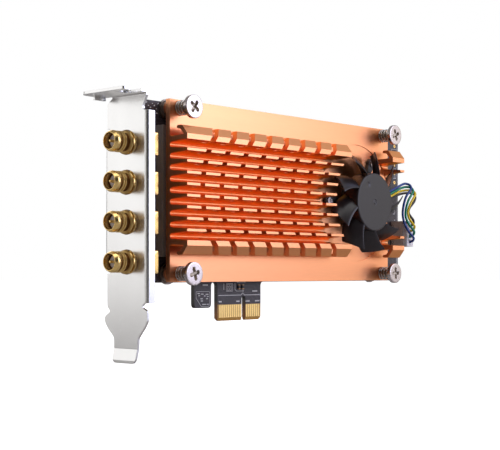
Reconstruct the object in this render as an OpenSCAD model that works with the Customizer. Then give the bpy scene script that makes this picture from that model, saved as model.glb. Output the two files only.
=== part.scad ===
// Low-profile wireless adapter card for a one-lane slot.
// X runs from the slot bracket to the far end of the card, Z runs up from the contacts,
// and the heatsink faces -Y. The origin is the middle of the contact edge's key notch,
// at the lower edge of the contacts and in the middle of the board's thickness.

/* [Board] */
// Thickness of the circuit board
board_t = 1.57; // [1.4:0.01:1.7]
// Height of the board over the lower edge of the contacts
board_top = 68.9; // [66:0.1:70]
// Height of the board's long lower edge
board_low = 12.7; // [12.5:0.1:13.5]
// Distance from the key notch to the bracket's outer face
key_to_bracket = 57.15; // [56:0.05:60]
// Distance from the key notch to the far end of the board
key_to_end = 89.25; // [86:0.05:95]
// Gap between the bracket's outer face and the board
board_gap = 1.6; // [1.2:0.1:3]
// Rounding of the board's corners
board_r = 1.2; // [0.5:0.1:2]

/* [Contact edge] */
// Width of the key notch
key_w = 1.9; // [1.8:0.01:2]
// Height of the key notch
key_h = 8.1; // [7.8:0.05:8.4]
// Length of the contact section on the bracket side of the notch
section_a = 11.65; // [11.6:0.01:11.7]
// Length of the contact section on the other side
section_b = 7.65; // [7.6:0.01:7.7]
// Distance between neighbouring contacts
contact_pitch = 1; // [1:0.01:1.01]
// Width of a contact
contact_w = 0.7; // [0.6:0.01:0.75]
// Height of a contact's lower end
contact_low = 0.95; // [0.8:0.05:1.2]
// Length of a contact
contact_l = 4.3; // [4:0.05:4.6]
// Thickness of the contact plating
contact_t = 0.05; // [0.03:0.01:0.06]
// Contacts on the bracket side of the notch
contacts_a = 11; // [11:1:11]
// Contacts on the other side of the notch
contacts_b = 7; // [7:1:7]
// Height of the bevel under the contacts
bevel_h = 1.1; // [0.8:0.1:1.3]
// Depth of the bevel on each face
bevel_d = 0.35; // [0.2:0.05:0.5]
// Chamfer at the outer corners of the contact edge
edge_chamfer = 0.8; // [0.5:0.1:1.2]
// Distance from the key notch to the near side of the retention tab
tab_x = 15.65; // [15.3:0.05:16]
// Width of the retention tab
tab_w = 7.7; // [7:0.1:8.5]
// Height of the tab's lower end
tab_low = 4.4; // [4:0.1:5]

/* [Bracket] */
// Sheet thickness
sheet_t = 0.86; // [0.8:0.01:1]
// Height of the bracket from the tongue's end to the top of the ear
bracket_h = 80.06; // [79.8:0.02:80.3]
// Width of the bracket
bracket_w = 18.42; // [18.2:0.01:18.6]
// Height of the ear's top over the contacts' lower edge
ear_top = 69.1; // [68.6:0.1:69.6]
// Distance from the board's component face to the bracket's front edge
bracket_reach = 13.7; // [13.2:0.1:14.2]
// How far the ear stands out of the bracket
ear_out = 10.2; // [9.5:0.1:11.5]
// How far the ear reaches past the bracket's front edge
ear_past = 1; // [0.5:0.1:1.6]
// Rounding of the ear's rear corner
ear_r = 3; // [2:0.1:4]
// Rounding of the ear's front corner
ear_front_r = 0.8; // [0.4:0.1:1.2]
// Length of the small lip under the ear's rear edge
ear_lip_l = 4.4; // [3:0.1:6]
// Height of the small lip under the ear's rear edge
ear_lip_h = 0.9; // [0.5:0.1:1.2]
// Width of the screw notch in the ear
notch_w = 4.42; // [4.3:0.01:4.6]
// Depth of the screw notch
notch_d = 6.2; // [5.5:0.1:6.8]
// Distance from the bracket's face to the middle of the screw notch
notch_x = 5.3; // [5:0.1:5.8]
// Inner radius of the folds
fold_r = 0.3; // [0.2:0.05:0.5]
// Depth of the front flange
flange_front = 3.2; // [2.5:0.1:4]
// Depth of the rear flange
flange_rear = 3.2; // [2.5:0.1:4]
// Width of the tongue
tongue_w = 10.19; // [10:0.01:10.3]
// Outward step of the tongue
tongue_step = 0.9; // [0.6:0.1:1.3]
// Height of the stepped part of the tongue
tongue_h = 4.3; // [3.8:0.1:5]
// Rounding of the tongue's lower corners
tongue_r = 1.6; // [1:0.1:2.2]
// Height of a relief slot at the ends of the rear flange
relief_h = 1; // [0.8:0.1:1.4]
// Depth of a relief slot
relief_d = 1.2; // [0.8:0.1:1.6]

/* [Antenna jacks] */
// Distance between neighbouring jacks
jack_pitch = 11.8; // [11.5:0.05:12.2]
// Height of the lowest jack's axis
jack_low = 19; // [18.5:0.1:19.5]
// Distance from the board's component face to the jacks' axes
jack_axis = 4.9; // [4.6:0.1:5.2]
// Radius over the thread
thread_r = 3.175; // [3.17:0.005:3.18]
// Length of a barrel in front of the bracket
barrel_l = 6.9; // [6.5:0.1:8]
// Length of the smooth collar
collar_l = 1.5; // [1.2:0.1:2]
// Radius of the round flange in the bracket's hole
jack_flange_r = 3.6; // [3.4:0.05:3.8]
// How far the flange stands out of the bracket
jack_flange_out = 1.1; // [0.8:0.1:1.5]
// Radius of the neck behind the thread
neck_r = 2.75; // [2.6:0.05:2.9]
// Length of the neck behind the thread
neck_l = 1; // [0.7:0.1:1.3]
// Length of the chamfer at the mouth
mouth_chamfer = 0.5; // [0.3:0.05:0.7]
// Outer radius at the mouth
mouth_r = 2.72; // [2.6:0.02:2.8]
// Radius of the bore
jack_bore_r = 2.3; // [2.2:0.05:2.4]
// Depth of the bore
jack_bore_d = 1.6; // [1.4:0.1:2]
// Depth of the groove behind the collar
groove_d = 0.25; // [0.15:0.05:0.4]
// Length of the groove behind the collar
groove_l = 0.3; // [0.2:0.05:0.5]
// Radius of a jack's insulator
insulator_r = 2; // [1.8:0.05:2.1]
// Radius of a jack's centre pin
jack_pin_r = 0.46; // [0.4:0.01:0.5]
// How far the centre pin stands over its insulator
jack_pin_l = 1.1; // [0.8:0.1:1.3]
// Length of a jack's square body
jack_body_l = 9; // [8:0.1:10]
// Width of a jack's square body
jack_body_w = 6.9; // [6.5:0.1:7.2]
// Width of a leg under a jack
leg_w = 1; // [0.9:0.1:1.3]
// Distance between neighbouring legs
leg_pitch = 5.08; // [5:0.02:5.1]
// How far legs and pins stand out behind the board
leg_out = 1.2; // [0.8:0.1:2]
// Clearance of legs and pins in the board's holes
leg_gap = 0.12; // [0.08:0.01:0.2]
// Clearance between the flanges and the bracket's holes
hole_gap = 0.1; // [0.08:0.01:0.2]

/* [Heatsink] */
// Distance from the bracket's face to the heatsink
sink_x = 16.9; // [16:0.1:18]
// Length of the heatsink
sink_l = 114.3; // [110:0.1:118]
// Height of the heatsink's plate
sink_h = 56.2; // [55:0.1:57]
// Height of the heatsink's middle over the contacts' lower edge
sink_mid = 41; // [40.5:0.1:41.5]
// Gap between the board and the heatsink's plate
sink_gap = 4.3; // [4:0.1:5]
// Thickness of the plate
plate_t = 1.7; // [1.4:0.1:2.2]
// Height of the fins over the plate
fin_h = 7.5; // [6:0.1:8]
// Distance between neighbouring fins
fin_pitch = 3.5; // [3.3:0.05:3.7]
// Thickness of a fin at its tip
fin_tip = 0.8; // [0.7:0.05:1]
// Thickness of a fin at its root
fin_root = 1.85; // [1.7:0.05:2]
// Thickness of a hooked outer fin at its tip
outer_tip = 1.6; // [1.4:0.05:1.8]
// How far the hook of an outer fin reaches outwards
hook_reach = 3.2; // [2.8:0.1:3.6]
// Number of grooves between the fins
groove_count = 9; // [9:2:9]
// Rows of arc cuts across the fins
cut_count = 8; // [4:1:8]
// Distance between neighbouring arc cuts
cut_pitch = 8.55; // [8.2:0.05:8.8]
// Radius of an arc cut
cut_r = 28.1; // [27:0.1:29]
// Width of an arc cut
cut_w = 2.1; // [1.6:0.1:2.5]
// Depth of an arc cut under the fin tips
cut_d = 3.8; // [3:0.1:4.5]
// Distance from the heatsink's bracket end to the fan's axis
fan_from_end = 94.6; // [94:0.1:95]
// Radius of the fan pocket
pocket_r = 21.1; // [20.8:0.1:21.5]
// Depth of the fan pocket under the plate's face
pocket_d = 0.3; // [0.2:0.05:0.5]
// Height of the end gap beside the fan
end_gap_h = 21.4; // [20.5:0.1:22]
// Length of the straight gap in the hooked outer fins beside the fan
hook_gap_l = 24.8; // [24.4:0.1:25.2]
// Distance between the screws along the card
screw_span_x = 106; // [104:0.1:107]
// Distance between the screws across the card
screw_span_z = 51; // [50:0.1:52]
// Distance from the heatsink's bracket end to the first screws
screw_from_end = 4.3; // [4:0.1:5]
// Radius of a boss behind the plate
boss_r = 2.5; // [2.2:0.1:3]
// Height of a boss behind the plate
boss_h = 2.4; // [1:0.1:3]

/* [Screws, springs and standoffs] */
// Radius of a screw's head
head_r = 3.6; // [3.4:0.05:3.8]
// Thickness of the head's straight rim
head_t = 1.3; // [1:0.1:1.6]
// Height of the cone under the head
head_cone = 0.5; // [0.3:0.1:0.8]
// Distance from the plate's face to the top of the head
head_over = 6.5; // [6:0.1:7]
// Radius of a screw's shank
shank_r = 1.5; // [1.4:0.01:1.5]
// Depth of the cross recess
recess_d = 1.4; // [1:0.1:1.5]
// Length of the cross recess
recess_l = 3.6; // [3:0.1:4]
// Width of the cross recess
recess_w = 1.2; // [1:0.05:1.4]
// Radius of the screw holes
screw_hole_r = 1.7; // [1.6:0.05:1.9]
// Outer radius of a spring
spring_r = 2.4; // [2.2:0.05:2.6]
// Diameter of the spring wire
spring_wire = 0.5; // [0.4:0.05:0.6]
// Turns of a spring
spring_turns = 4.5; // [3:0.5:5]
// Radius of a standoff's flange
flange_r = 3.4; // [3.3:0.05:3.6]
// Thickness of a standoff's flange
flange_t = 0.8; // [0.6:0.1:1]
// Radius of a standoff's collar
stand_r = 3; // [2.6:0.1:3.2]
// Radius of a standoff's foot in the board
foot_r = 2.1; // [2:0.05:2.3]
// Clearance round a standoff's foot in the board
foot_gap = 0.05; // [0.03:0.01:0.1]

/* [Fan] */
// Radius of the rotor's hub
hub_r = 10.4; // [10:0.1:10.6]
// Distance from the plate's face to the front of the hub
hub_over = 8.5; // [8:0.1:9]
// Thickness of the hub's front
hub_t = 1; // [0.8:0.1:1.2]
// Thickness of the hub's wall
hub_wall = 0.5; // [0.4:0.05:0.6]
// Rounding of the hub's front edge
hub_edge = 0.3; // [0.2:0.05:0.5]
// Radius of the small dimple in the hub's middle
dimple_r = 0.7; // [0.5:0.1:1]
// Radius at the blades' tips
blade_r = 18.9; // [18.5:0.1:19.2]
// Number of blades
blade_count = 9; // [7:1:11]
// Thickness of a blade
blade_t = 0.7; // [0.6:0.05:0.9]
// Angle of the first blade's front tip
blade_start = 10; // [0:1:40]
// Angle that a blade leans back between its tip and the hub
blade_sweep = 14; // [8:1:20]
// Angle between a blade's front and rear edge at the tip
blade_chord_tip = 17; // [12:1:20]
// Angle between a blade's front and rear edge at the hub
blade_chord_hub = 27; // [20:1:30]
// Distance from the hub's front to the blades' front edge
blade_front = 0.5; // [0.3:0.1:1]
// Gap between the plate's face and the rotor
rotor_gap = 2; // [1.8:0.1:2.3]
// Thickness of the fan's base
base_t = 1.2; // [1:0.1:1.3]
// Radius of the fan's base
base_r = 9; // [8.5:0.1:9.4]
// Radius to the fan's screws
base_screw_r = 17; // [16.5:0.1:17.5]
// Width of the fan's arms
arm_w = 2.8; // [2.4:0.1:3.4]
// Radius of the round ends of the arms
arm_end_r = 1.9; // [1.8:0.1:2.4]
// Outer radius of the bearing tube
tube_r = 2.6; // [2.4:0.1:2.8]
// Outer radius of the bearing
bearing_r = 1.9; // [1.7:0.05:2]
// Radius of the shaft
shaft_r = 0.75; // [0.7:0.05:0.8]
// Running clearance of the shaft
shaft_gap = 0.03; // [0.02:0.01:0.05]
// Thickness of the fan's circuit board
fan_board_t = 0.6; // [0.5:0.1:0.8]
// Outer radius of the stator core
stator_r = 8.2; // [8:0.1:8.3]
// Thickness of the stator core
stator_t = 3; // [2.5:0.1:3.2]
// Width of a stator arm
stator_arm = 1.6; // [1.4:0.1:2]
// Thickness of a winding around its arm
winding_t = 1; // [0.8:0.1:1.2]
// Thickness of the rotor's steel ring
yoke_t = 0.5; // [0.4:0.05:0.6]
// Thickness of the rotor's magnet
magnet_t = 0.8; // [0.6:0.05:0.9]
// Radius of a fan screw's head
fan_head_r = 1.25; // [1.1:0.05:1.3]
// Height of a fan screw's head
fan_head_t = 0.55; // [0.4:0.05:0.6]
// Radius of a fan screw's shank
fan_shank_r = 0.7; // [0.6:0.05:0.8]

/* [Fan header and plug] */
// Distance from the bracket's face to the header
header_x = 141.9; // [141:0.1:142]
// Width of the header
header_w = 4.3; // [4:0.1:4.4]
// Length of the header
header_l = 9.8; // [9.6:0.1:10]
// Height of the header's middle over the contacts' lower edge
header_mid = 30.5; // [30:0.1:31]
// Height of the header over the board
header_h = 5.2; // [5:0.1:5.6]
// Thickness of the header's walls
header_wall = 0.6; // [0.5:0.05:0.7]
// Thickness of the header's floor
header_floor = 1; // [0.8:0.1:1.2]
// Distance between neighbouring header pins
header_pitch = 2; // [2:0.01:2.01]
// Width of a header pin
header_pin = 0.5; // [0.45:0.05:0.55]
// Clearance between plug and header
plug_gap = 0.06; // [0.04:0.01:0.1]
// Distance from the board to the plug's front
plug_front = 7.3; // [7:0.1:7.6]
// Width of a plug contact
crimp_w = 1.1; // [1:0.05:1.2]
// Outer diameter of a wire
wire_d = 0.9; // [0.8:0.05:1]

/* [Electronics] */
// Length of a shield can
can_l = 43; // [40:0.5:44]
// Height of a shield can across the card
can_w = 40.6; // [38:0.1:41]
// Height of a shield can over the board
can_h = 3.3; // [3:0.1:3.5]
// Sheet thickness of a shield can
can_t = 0.25; // [0.2:0.05:0.3]
// Distance from the bracket's face to the first can
can_x = 16.6; // [16.3:0.1:18]
// Gap between the two cans
can_gap = 3; // [2:0.5:4]
// Width of a radio chip
chip_w = 12; // [10:0.5:14]
// Height of a radio chip
chip_h = 1.2; // [1:0.1:1.4]
// Width of the bridge chip
bridge_w = 13; // [11:0.5:15]
// Height of the bridge chip
bridge_h = 1.6; // [1.2:0.1:2]
// Margin around a thermal pad
pad_edge = 2; // [1:0.5:3]
// Length of a small part
chip_part_l = 1.6; // [1.4:0.1:2]
// Width of a small part
chip_part_w = 0.85; // [0.7:0.05:1]
// Height of a small part
chip_part_h = 0.6; // [0.4:0.05:0.8]
// Width of the power coil
coil_w = 5; // [4:0.5:6]
// Height of the power coil
coil_h = 2.8; // [2:0.1:3.2]
// Length of the crystal's can
crystal_l = 3.2; // [2.5:0.1:5]
// Width of the crystal's can
crystal_w = 2.5; // [2:0.1:3]
// Height of the crystal's can
crystal_h = 0.8; // [0.6:0.1:1]
// Gap between a small part and the part it stands beside
part_gap = 1.2; // [0.8:0.1:2]
// Distance between neighbouring small parts
part_step = 2.9; // [2.5:0.1:3.5]
// Length of the memory chip's body
memory_l = 5.2; // [5:0.1:5.4]
// Width of the memory chip's body
memory_w = 5.3; // [5:0.1:5.5]
// Height of the memory chip's body
memory_h = 1.7; // [1.5:0.1:2]
// Radius of a test point
test_r = 0.55; // [0.4:0.05:0.7]
// Distance from the board's far end to the test points
test_x = 2.3; // [2:0.1:2.6]

/* [Hidden] */
$fn = 64;
face_x = -key_to_bracket;
front_y = -board_t / 2;
back_y = board_t / 2;
tongue_z = ear_top - bracket_h;
bracket_y = front_y - bracket_reach;
fold_o = fold_r + sheet_t;
fold_share = fold_o / bracket_w;
plate_back = front_y - sink_gap;
plate_face = plate_back - plate_t;
sink_x0 = face_x + sink_x;
fan_x = sink_x0 + fan_from_end;
pocket_y = plate_face + pocket_d;
pocket_h = groove_count * fin_pitch - fin_root;
jack_y = front_y - jack_axis;
jack_z = [for (i = [0 : 3]) jack_low + (3 - i) * jack_pitch];
screw_x = [sink_x0 + screw_from_end, sink_x0 + screw_from_end + screw_span_x];
screw_z = [sink_mid - screw_span_z / 2, sink_mid + screw_span_z / 2];
hub_y = plate_face - hub_over;
rotor_back = plate_face - rotor_gap;
base_y = pocket_y - base_t;
head_y = plate_face - head_over;
header_x0 = face_x + header_x;
header_y = front_y - header_h;
plug_y = front_y - plug_front;
pin_z = [for (i = [0 : 3]) header_mid + (1.5 - i) * header_pitch];
can_start = [face_x + can_x, face_x + can_x + can_l + can_gap];
bridge_x = can_start[1] + can_l + bridge_w;
arm_angles = [180, 60, -60];

// Front edge of the bracket's face from the ear down to the tongue:
// shares of its width, its height and, for the roundings, the sheet's thickness.
front_edge_shares = [
    [0.016, 0.983, 0], [0.105, 0.945, 0.5], [0.105, 0.935, 0.5], [fold_share, 0.929, 0],
    [fold_share, 0.223, 0], [0.105, 0.217, 0.5], [0.105, 0.206, 0.5], [0, 0.194, 0.6],
    [0, 0.156, 1.5], [0.065, 0.133, 0.8], [0.215, 0.093, 0.8], [0.223, 0.054, 0]];
// Rear edge from the tongue up to the ear, in the same shares.
rear_edge_shares = [
    [0.777, 0.054, 0], [0.777, 0.089, 0.8], [0.8, 0.098, 0], [0.93, 0.126, 0.8],
    [1, 0.15, 2], [1, 0.172, 1.2], [0.862, 0.19, 0.7], [1 - fold_share, 0.206, 0.5],
    [1 - fold_share, 0.966, 0.6], [0.815, 0.985, 0]];
// Ends of the flanges as shares of the bracket's height.
front_flange_shares = [0.223, 0.929];
rear_flange_shares = [0.342, 0.86];
// Outside of a hooked fin from its tip to the plate: shares of the fin's height
// and of the hook's reach.
hook_shares = [
    [1, 0.13], [0.72, 0.97], [0.64, 1], [0.46, 1], [0.4, 0.93], [0.385, 0.82],
    [0.41, 0.71], [0.47, 0.66], [0.6, 0.64], [0.8, 0.08], [0.08, 0], [0, 0.12]];
// Small parts beside the key: shares of the board's length and height.
key_part_shares = [[0.366, 0.149], [0.379, 0.149]];
// Small parts on the rear side, in the same shares.
back_part_shares = [
    [0.3, 0.3], [0.32, 0.3], [0.34, 0.3], [0.36, 0.3], [0.42, 0.3], [0.44, 0.3],
    [0.2, 0.55], [0.22, 0.55], [0.24, 0.55], [0.5, 0.7], [0.52, 0.7], [0.54, 0.7],
    [0.7, 0.45], [0.72, 0.45], [0.74, 0.45], [0.76, 0.45], [0.83, 0.62], [0.85, 0.62]];
// Heights of the test points as shares of the board's height.
test_shares = [0.934, 0.827, 0.78, 0.732];

// Middle lines of the four wires, from the fan's base to the plug.
blue_path = [
    [62.9, -7.6, 44], [70, -7.6, 44.9], [75, -7.5, 46.4], [80, -7, 48], [84, -6.3, 49.2],
    [86.2, -6.4, 49.7], [87.4, -7.5, 49.2], [87, -8.5, 47.9], [85.2, -8.8, 46.4],
    [83.4, -8.6, 44.4], [82.4, -8.2, 41.2], [82.1, -8, 37.8], [82.6, -8.4, 34.6],
    [83.9, -9.1, 31.9], [85.4, -9.7, 30], [86.6, -9.9, 28.9], [87, -9.3, 27.9], [86.9, -8.2, 27.5],
    [86.9, -7.2, 27.5]];
green_path = [
    [63.2, -7.6, 43], [70, -7.6, 43.9], [75, -7.5, 45.4], [80, -7, 47], [84, -6.3, 48],
    [87.3, -6.3, 48.5], [88.7, -7.4, 48.1], [88.4, -8.5, 46.8], [86.6, -8.8, 45.2],
    [84.9, -8.6, 43], [84, -8.2, 40], [83.8, -8.2, 37], [84.4, -9, 34.4], [85.6, -9.9, 32.5],
    [86.7, -10.1, 31.2], [87, -9.4, 30], [86.9, -8.2, 29.5], [86.9, -7.2, 29.5]];
yellow_path = [
    [63.4, -7.6, 42], [70, -7.6, 42.9], [75, -7.5, 44.4], [80, -7, 46], [84.4, -6.3, 46.9],
    [88.6, -6.2, 47.3], [90.1, -7.3, 47], [89.8, -8.5, 45.7], [88, -8.8, 44], [86.3, -8.6, 41.8],
    [85.4, -8.2, 39.2], [85.2, -8.6, 36.8], [85.8, -9.6, 34.8], [86.7, -10.2, 33.4],
    [87, -9.6, 32.2], [86.9, -8.2, 31.5], [86.9, -7.2, 31.5]];
black_path = [
    [63.4, -7.6, 41], [70, -7.6, 41.9], [75, -7.5, 43.4], [80, -7, 45], [84.8, -6.3, 45.9],
    [89.4, -6.1, 46.3], [91.6, -6.4, 46.1], [92.3, -6.8, 44.8], [91.4, -7, 43.2],
    [89.8, -6.9, 41.7], [88.2, -6.8, 40.2], [87.1, -7.3, 38.5], [86.8, -8.5, 37],
    [86.8, -9.6, 35.7], [87, -9.5, 34.3], [86.9, -8.2, 33.5], [86.9, -7.2, 33.5]];

// Geometry helpers
function unit(v) = v / norm(v);

// Points of a rounding of radius r at p between its neighbours a and b.
function rounding(a, p, b, r, n = 4) =
    let (u = unit(a - p), v = unit(b - p), half = acos(u * v) / 2,
         c = p + unit(u + v) * r / sin(half), s = p + u * r / tan(half) - c,
         e = p + v * r / tan(half) - c, a0 = atan2(s.y, s.x),
         turn = (atan2(e.y, e.x) - a0 + 900) % 360 - 180)
    [for (i = [0 : n]) c + r * [cos(a0 + turn * i / n), sin(a0 + turn * i / n)]];

// Outline of points [x, y, radius] with its corners rounded.
function outline(points) =
    let (n = len(points), flat = [for (p = points) [p[0], p[1]]])
    [for (i = [0 : n - 1])
        each points[i][2] == 0 ? [flat[i]]
            : rounding(flat[(i + n - 1) % n], flat[i], flat[(i + 1) % n], points[i][2])];

function arc(c, r, a0, a1, n) =
    [for (i = [0 : n]) c + r * [cos(a0 + (a1 - a0) * i / n), sin(a0 + (a1 - a0) * i / n)]];

// A box between x0 and x1, y0 and y1, z0 and z1.
module block(x, y, z) {
    translate([x[0], min(y), z[0]])
        cube([x[1] - x[0], abs(y[1] - y[0]), z[1] - z[0]]);
}

// Round bar along Y between two depths.
module bar_y(x, z, y, r) {
    translate([x, max(y), z]) rotate([90, 0, 0]) cylinder(r = r, h = abs(y[1] - y[0]));
}

// Flat shape in the X-Z plane, given thickness along Y.
module slab_y(y) {
    translate([0, max(y), 0]) rotate([90, 0, 0]) linear_extrude(abs(y[1] - y[0])) children();
}

// Flat shape in the Y-Z plane, given length along X.
module slab_x(x) {
    translate([x[0], 0, 0]) rotate([90, 0, 90]) linear_extrude(x[1] - x[0]) children();
}

// Smooth curve through the points, with `count` rings, and a tube around it.
function spline(p, s) =
    let (n = len(p) - 1, i = min(floor(s), n - 1), t = s - i,
         a = p[max(i - 1, 0)], b = p[i], c = p[i + 1], d = p[min(i + 2, n)])
    0.5 * (2 * b + (c - a) * t + (2 * a - 5 * b + 4 * c - d) * t * t
        + (3 * b - a - 3 * c + d) * t * t * t);

function tube_rings(path, r, sides) =
    let (n = len(path))
    [for (i = [0 : n - 1])
        let (t = unit(path[min(i + 1, n - 1)] - path[max(i - 1, 0)]),
             side = unit(cross(t, abs(t.y) < 0.9 ? [0, 1, 0] : [1, 0, 0])), up = cross(side, t))
        for (k = [0 : sides - 1])
            path[i] + r * (cos(360 * k / sides) * side + sin(360 * k / sides) * up)];

module tube(path, r, sides) {
    n = len(path);
    walls = [for (i = [0 : n - 2], k = [0 : sides - 1])
        let (a = i * sides + k, b = i * sides + (k + 1) % sides)
        each [[a, b, b + sides], [a, b + sides, a + sides]]];
    first = [for (k = [1 : sides - 2]) [0, k + 1, k]];
    start = (n - 1) * sides;
    last = [for (k = [1 : sides - 2]) [start, start + k, start + k + 1]];
    polyhedron(tube_rings(path, r, sides), concat(walls, first, last));
}

// Folded sheet: a quarter of a tube along Z around [x, y], towards [sx, sy].
module fold_z(x, y, sx, sy, z) {
    intersection() {
        difference() {
            translate([x, y, z[0]]) cylinder(r = fold_o, h = z[1] - z[0]);
            translate([x, y, z[0] - sheet_t]) cylinder(r = fold_r, h = z[1] - z[0] + 2 * sheet_t);
        }
        block([min(x, x + sx * fold_o), max(x, x + sx * fold_o)],
            [min(y, y + sy * fold_o), max(y, y + sy * fold_o)], z);
    }
}

// Bracket
function face_points(shares) =
    [for (s = shares)
        [bracket_y + s[0] * bracket_w, tongue_z + s[1] * bracket_h, s[2] * sheet_t]];

module bracket_face() {
    tongue_y = [bracket_y + (bracket_w - tongue_w) / 2, bracket_y + (bracket_w + tongue_w) / 2];
    neck = [bracket_y + front_edge_shares[0][0] * bracket_w,
        bracket_y + rear_edge_shares[len(rear_edge_shares) - 1][0] * bracket_w];
    top = ear_top - fold_o;
    slab_x([face_x, face_x + sheet_t])
        polygon(outline(concat([[neck[0], top, 0]], face_points(front_edge_shares),
            face_points(rear_edge_shares), [[neck[1], top, 0]])));
    intersection() {
        slab_x([face_x - tongue_step, face_x + sheet_t])
            polygon(outline([[tongue_y[0], tongue_z + tongue_h, 0], [tongue_y[0], tongue_z, tongue_r],
                [tongue_y[1], tongue_z, tongue_r], [tongue_y[1], tongue_z + tongue_h, 0]]));
        slab_y(tongue_y)
            polygon([[face_x, tongue_z + tongue_h], [face_x - tongue_step, tongue_z + sheet_t],
                [face_x - tongue_step, tongue_z], [face_x - tongue_step + sheet_t, tongue_z],
                [face_x - tongue_step + sheet_t, tongue_z + sheet_t],
                [face_x + sheet_t, tongue_z + tongue_h]]);
    }
    // the fold up to the ear
    translate([0, neck[0], 0])
        intersection() {
            translate([face_x + sheet_t - fold_o, 0, top]) rotate([-90, 0, 0])
                difference() {
                    cylinder(r = fold_o, h = neck[1] - neck[0]);
                    translate([0, 0, -sheet_t])
                        cylinder(r = fold_r, h = neck[1] - neck[0] + 2 * sheet_t);
                }
            block([face_x + sheet_t - fold_o, face_x + sheet_t], [0, neck[1] - neck[0]],
                [top, ear_top]);
        }
}

module bracket_ear() {
    y0 = bracket_y - ear_past;
    y1 = bracket_y + bracket_w;
    x0 = face_x - ear_out;
    x1 = face_x + sheet_t - fold_o;
    translate([0, 0, ear_top - sheet_t])
        difference() {
            linear_extrude(sheet_t)
                polygon(outline([[x0, y0, ear_front_r], [x1, y0, 0], [x1, y1, 0], [x0, y1, ear_r]]));
            translate([face_x - notch_x, y0 + notch_d - notch_w / 2, -sheet_t])
                cylinder(d = notch_w, h = 3 * sheet_t);
            block([face_x - notch_x - notch_w / 2, face_x - notch_x + notch_w / 2],
                [y0 - sheet_t, y0 + notch_d - notch_w / 2], [-sheet_t, 2 * sheet_t]);
        }
    translate([0, 0, ear_top - sheet_t])
        block([x1 - ear_lip_l, x1], [y1 - sheet_t, y1], [-ear_lip_h, sheet_t / 2]);
}

module bracket_flange(y, side, depth, shares) {
    z = [tongue_z + shares[0] * bracket_h, tongue_z + shares[1] * bracket_h];
    fold_z(face_x + fold_o, y - side * fold_o, -1, side, z);
    block([face_x + fold_o, face_x + depth], [y, y - side * sheet_t], z);
}

module bracket() color("Silver") {
    y1 = bracket_y + bracket_w;
    difference() {
        union() {
            bracket_face();
            bracket_ear();
            bracket_flange(bracket_y, -1, flange_front, front_flange_shares);
            bracket_flange(y1, 1, flange_rear, rear_flange_shares);
        }
        for (z = jack_z)
            translate([face_x - sheet_t, jack_y, z]) rotate([0, 90, 0])
                cylinder(r = jack_flange_r + hole_gap, h = 3 * sheet_t);
        for (s = rear_flange_shares, side = [1]) {
            z = tongue_z + s * bracket_h + (s < 0.5 ? -relief_h : 0);
            block([face_x - sheet_t, face_x + 2 * fold_o], [y1 - fold_o - relief_d, y1 + sheet_t],
                [z, z + relief_h]);
        }
    }
}

// Circuit board
module board_outline() {
    x0 = face_x + board_gap;
    a0 = -key_w / 2 - section_a;
    b1 = key_w / 2 + section_b;
    difference() {
        polygon(outline([
            [x0, board_low, board_r / 2], [-tab_x - tab_w, board_low, board_r],
            [-tab_x - tab_w, tab_low, board_r], [-tab_x, tab_low, board_r],
            [-tab_x, board_low, board_r], [a0, board_low, board_r],
            [a0, edge_chamfer, 0], [a0 + edge_chamfer, 0, 0], [b1 - edge_chamfer, 0, 0],
            [b1, edge_chamfer, 0], [b1, board_low, board_r], [key_to_end, board_low, board_r],
            [key_to_end, board_top, board_r], [x0, board_top, board_r / 2]]));
        translate([-key_w / 2, -key_w]) square([key_w, key_h + key_w / 2]);
        translate([0, key_h - key_w / 2]) circle(d = key_w);
    }
}

module board_bevel(side) {
    y = side * board_t / 2;
    slab_x([-section_a - 2 * key_w, section_b + 2 * key_w])
        polygon([[y - side * bevel_d, 0], [y + side * board_t, 0], [y + side * board_t, bevel_h],
            [y, bevel_h]]);
}

module circuit_board() color("DarkSlateGray")
    difference() {
        slab_y([front_y, back_y]) board_outline();
        board_bevel(1);
        board_bevel(-1);
        for (x = screw_x, z = screw_z) bar_y(x, z, [-board_t, board_t], foot_r + foot_gap);
        for (z = jack_z) {
            for (p = leg_places()) bar_y(p[0], z + p[1], [-board_t, board_t],
                leg_w * sqrt(2) / 2 + leg_gap);
            bar_y(jack_leg_x, z, [-board_t, board_t], jack_pin_r + leg_gap);
        }
        for (z = pin_z)
            bar_y(header_x0 + header_w / 2, z, [-board_t, board_t],
                header_pin * sqrt(2) / 2 + leg_gap);
    }

module edge_contacts() color("Gold")
    for (i = [1 : contacts_a + contacts_b], side = [-1, 1]) {
        first = -key_w / 2 - section_a + contact_pitch + 0.1 * contact_pitch;
        skip = i > contacts_a ? 2 * contact_pitch : 0;
        x = first + (i - 1) * contact_pitch + skip;
        block([x - contact_w / 2, x + contact_w / 2],
            [side * board_t / 2, side * (board_t / 2 + contact_t)],
            [max(contact_low, bevel_h), contact_low + contact_l]);
    }

module test_points() color("Gold")
    for (s = test_shares)
        bar_y(key_to_end - test_x, s * board_top, [front_y, front_y - contact_t], test_r);

// Antenna jacks: axis along -X, lengths counted outwards from the bracket's face
jack_back = -sheet_t - jack_body_l;
jack_leg_x = face_x + sheet_t + 0.62 * jack_body_l;
function leg_places() =
    [for (sx = [-1, 1], sz = [-1, 1])
        [jack_leg_x + sx * leg_pitch / 2, sz * leg_pitch / 2]];

module along_jack(z) translate([face_x, jack_y, z]) rotate([0, -90, 0]) children();

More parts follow.
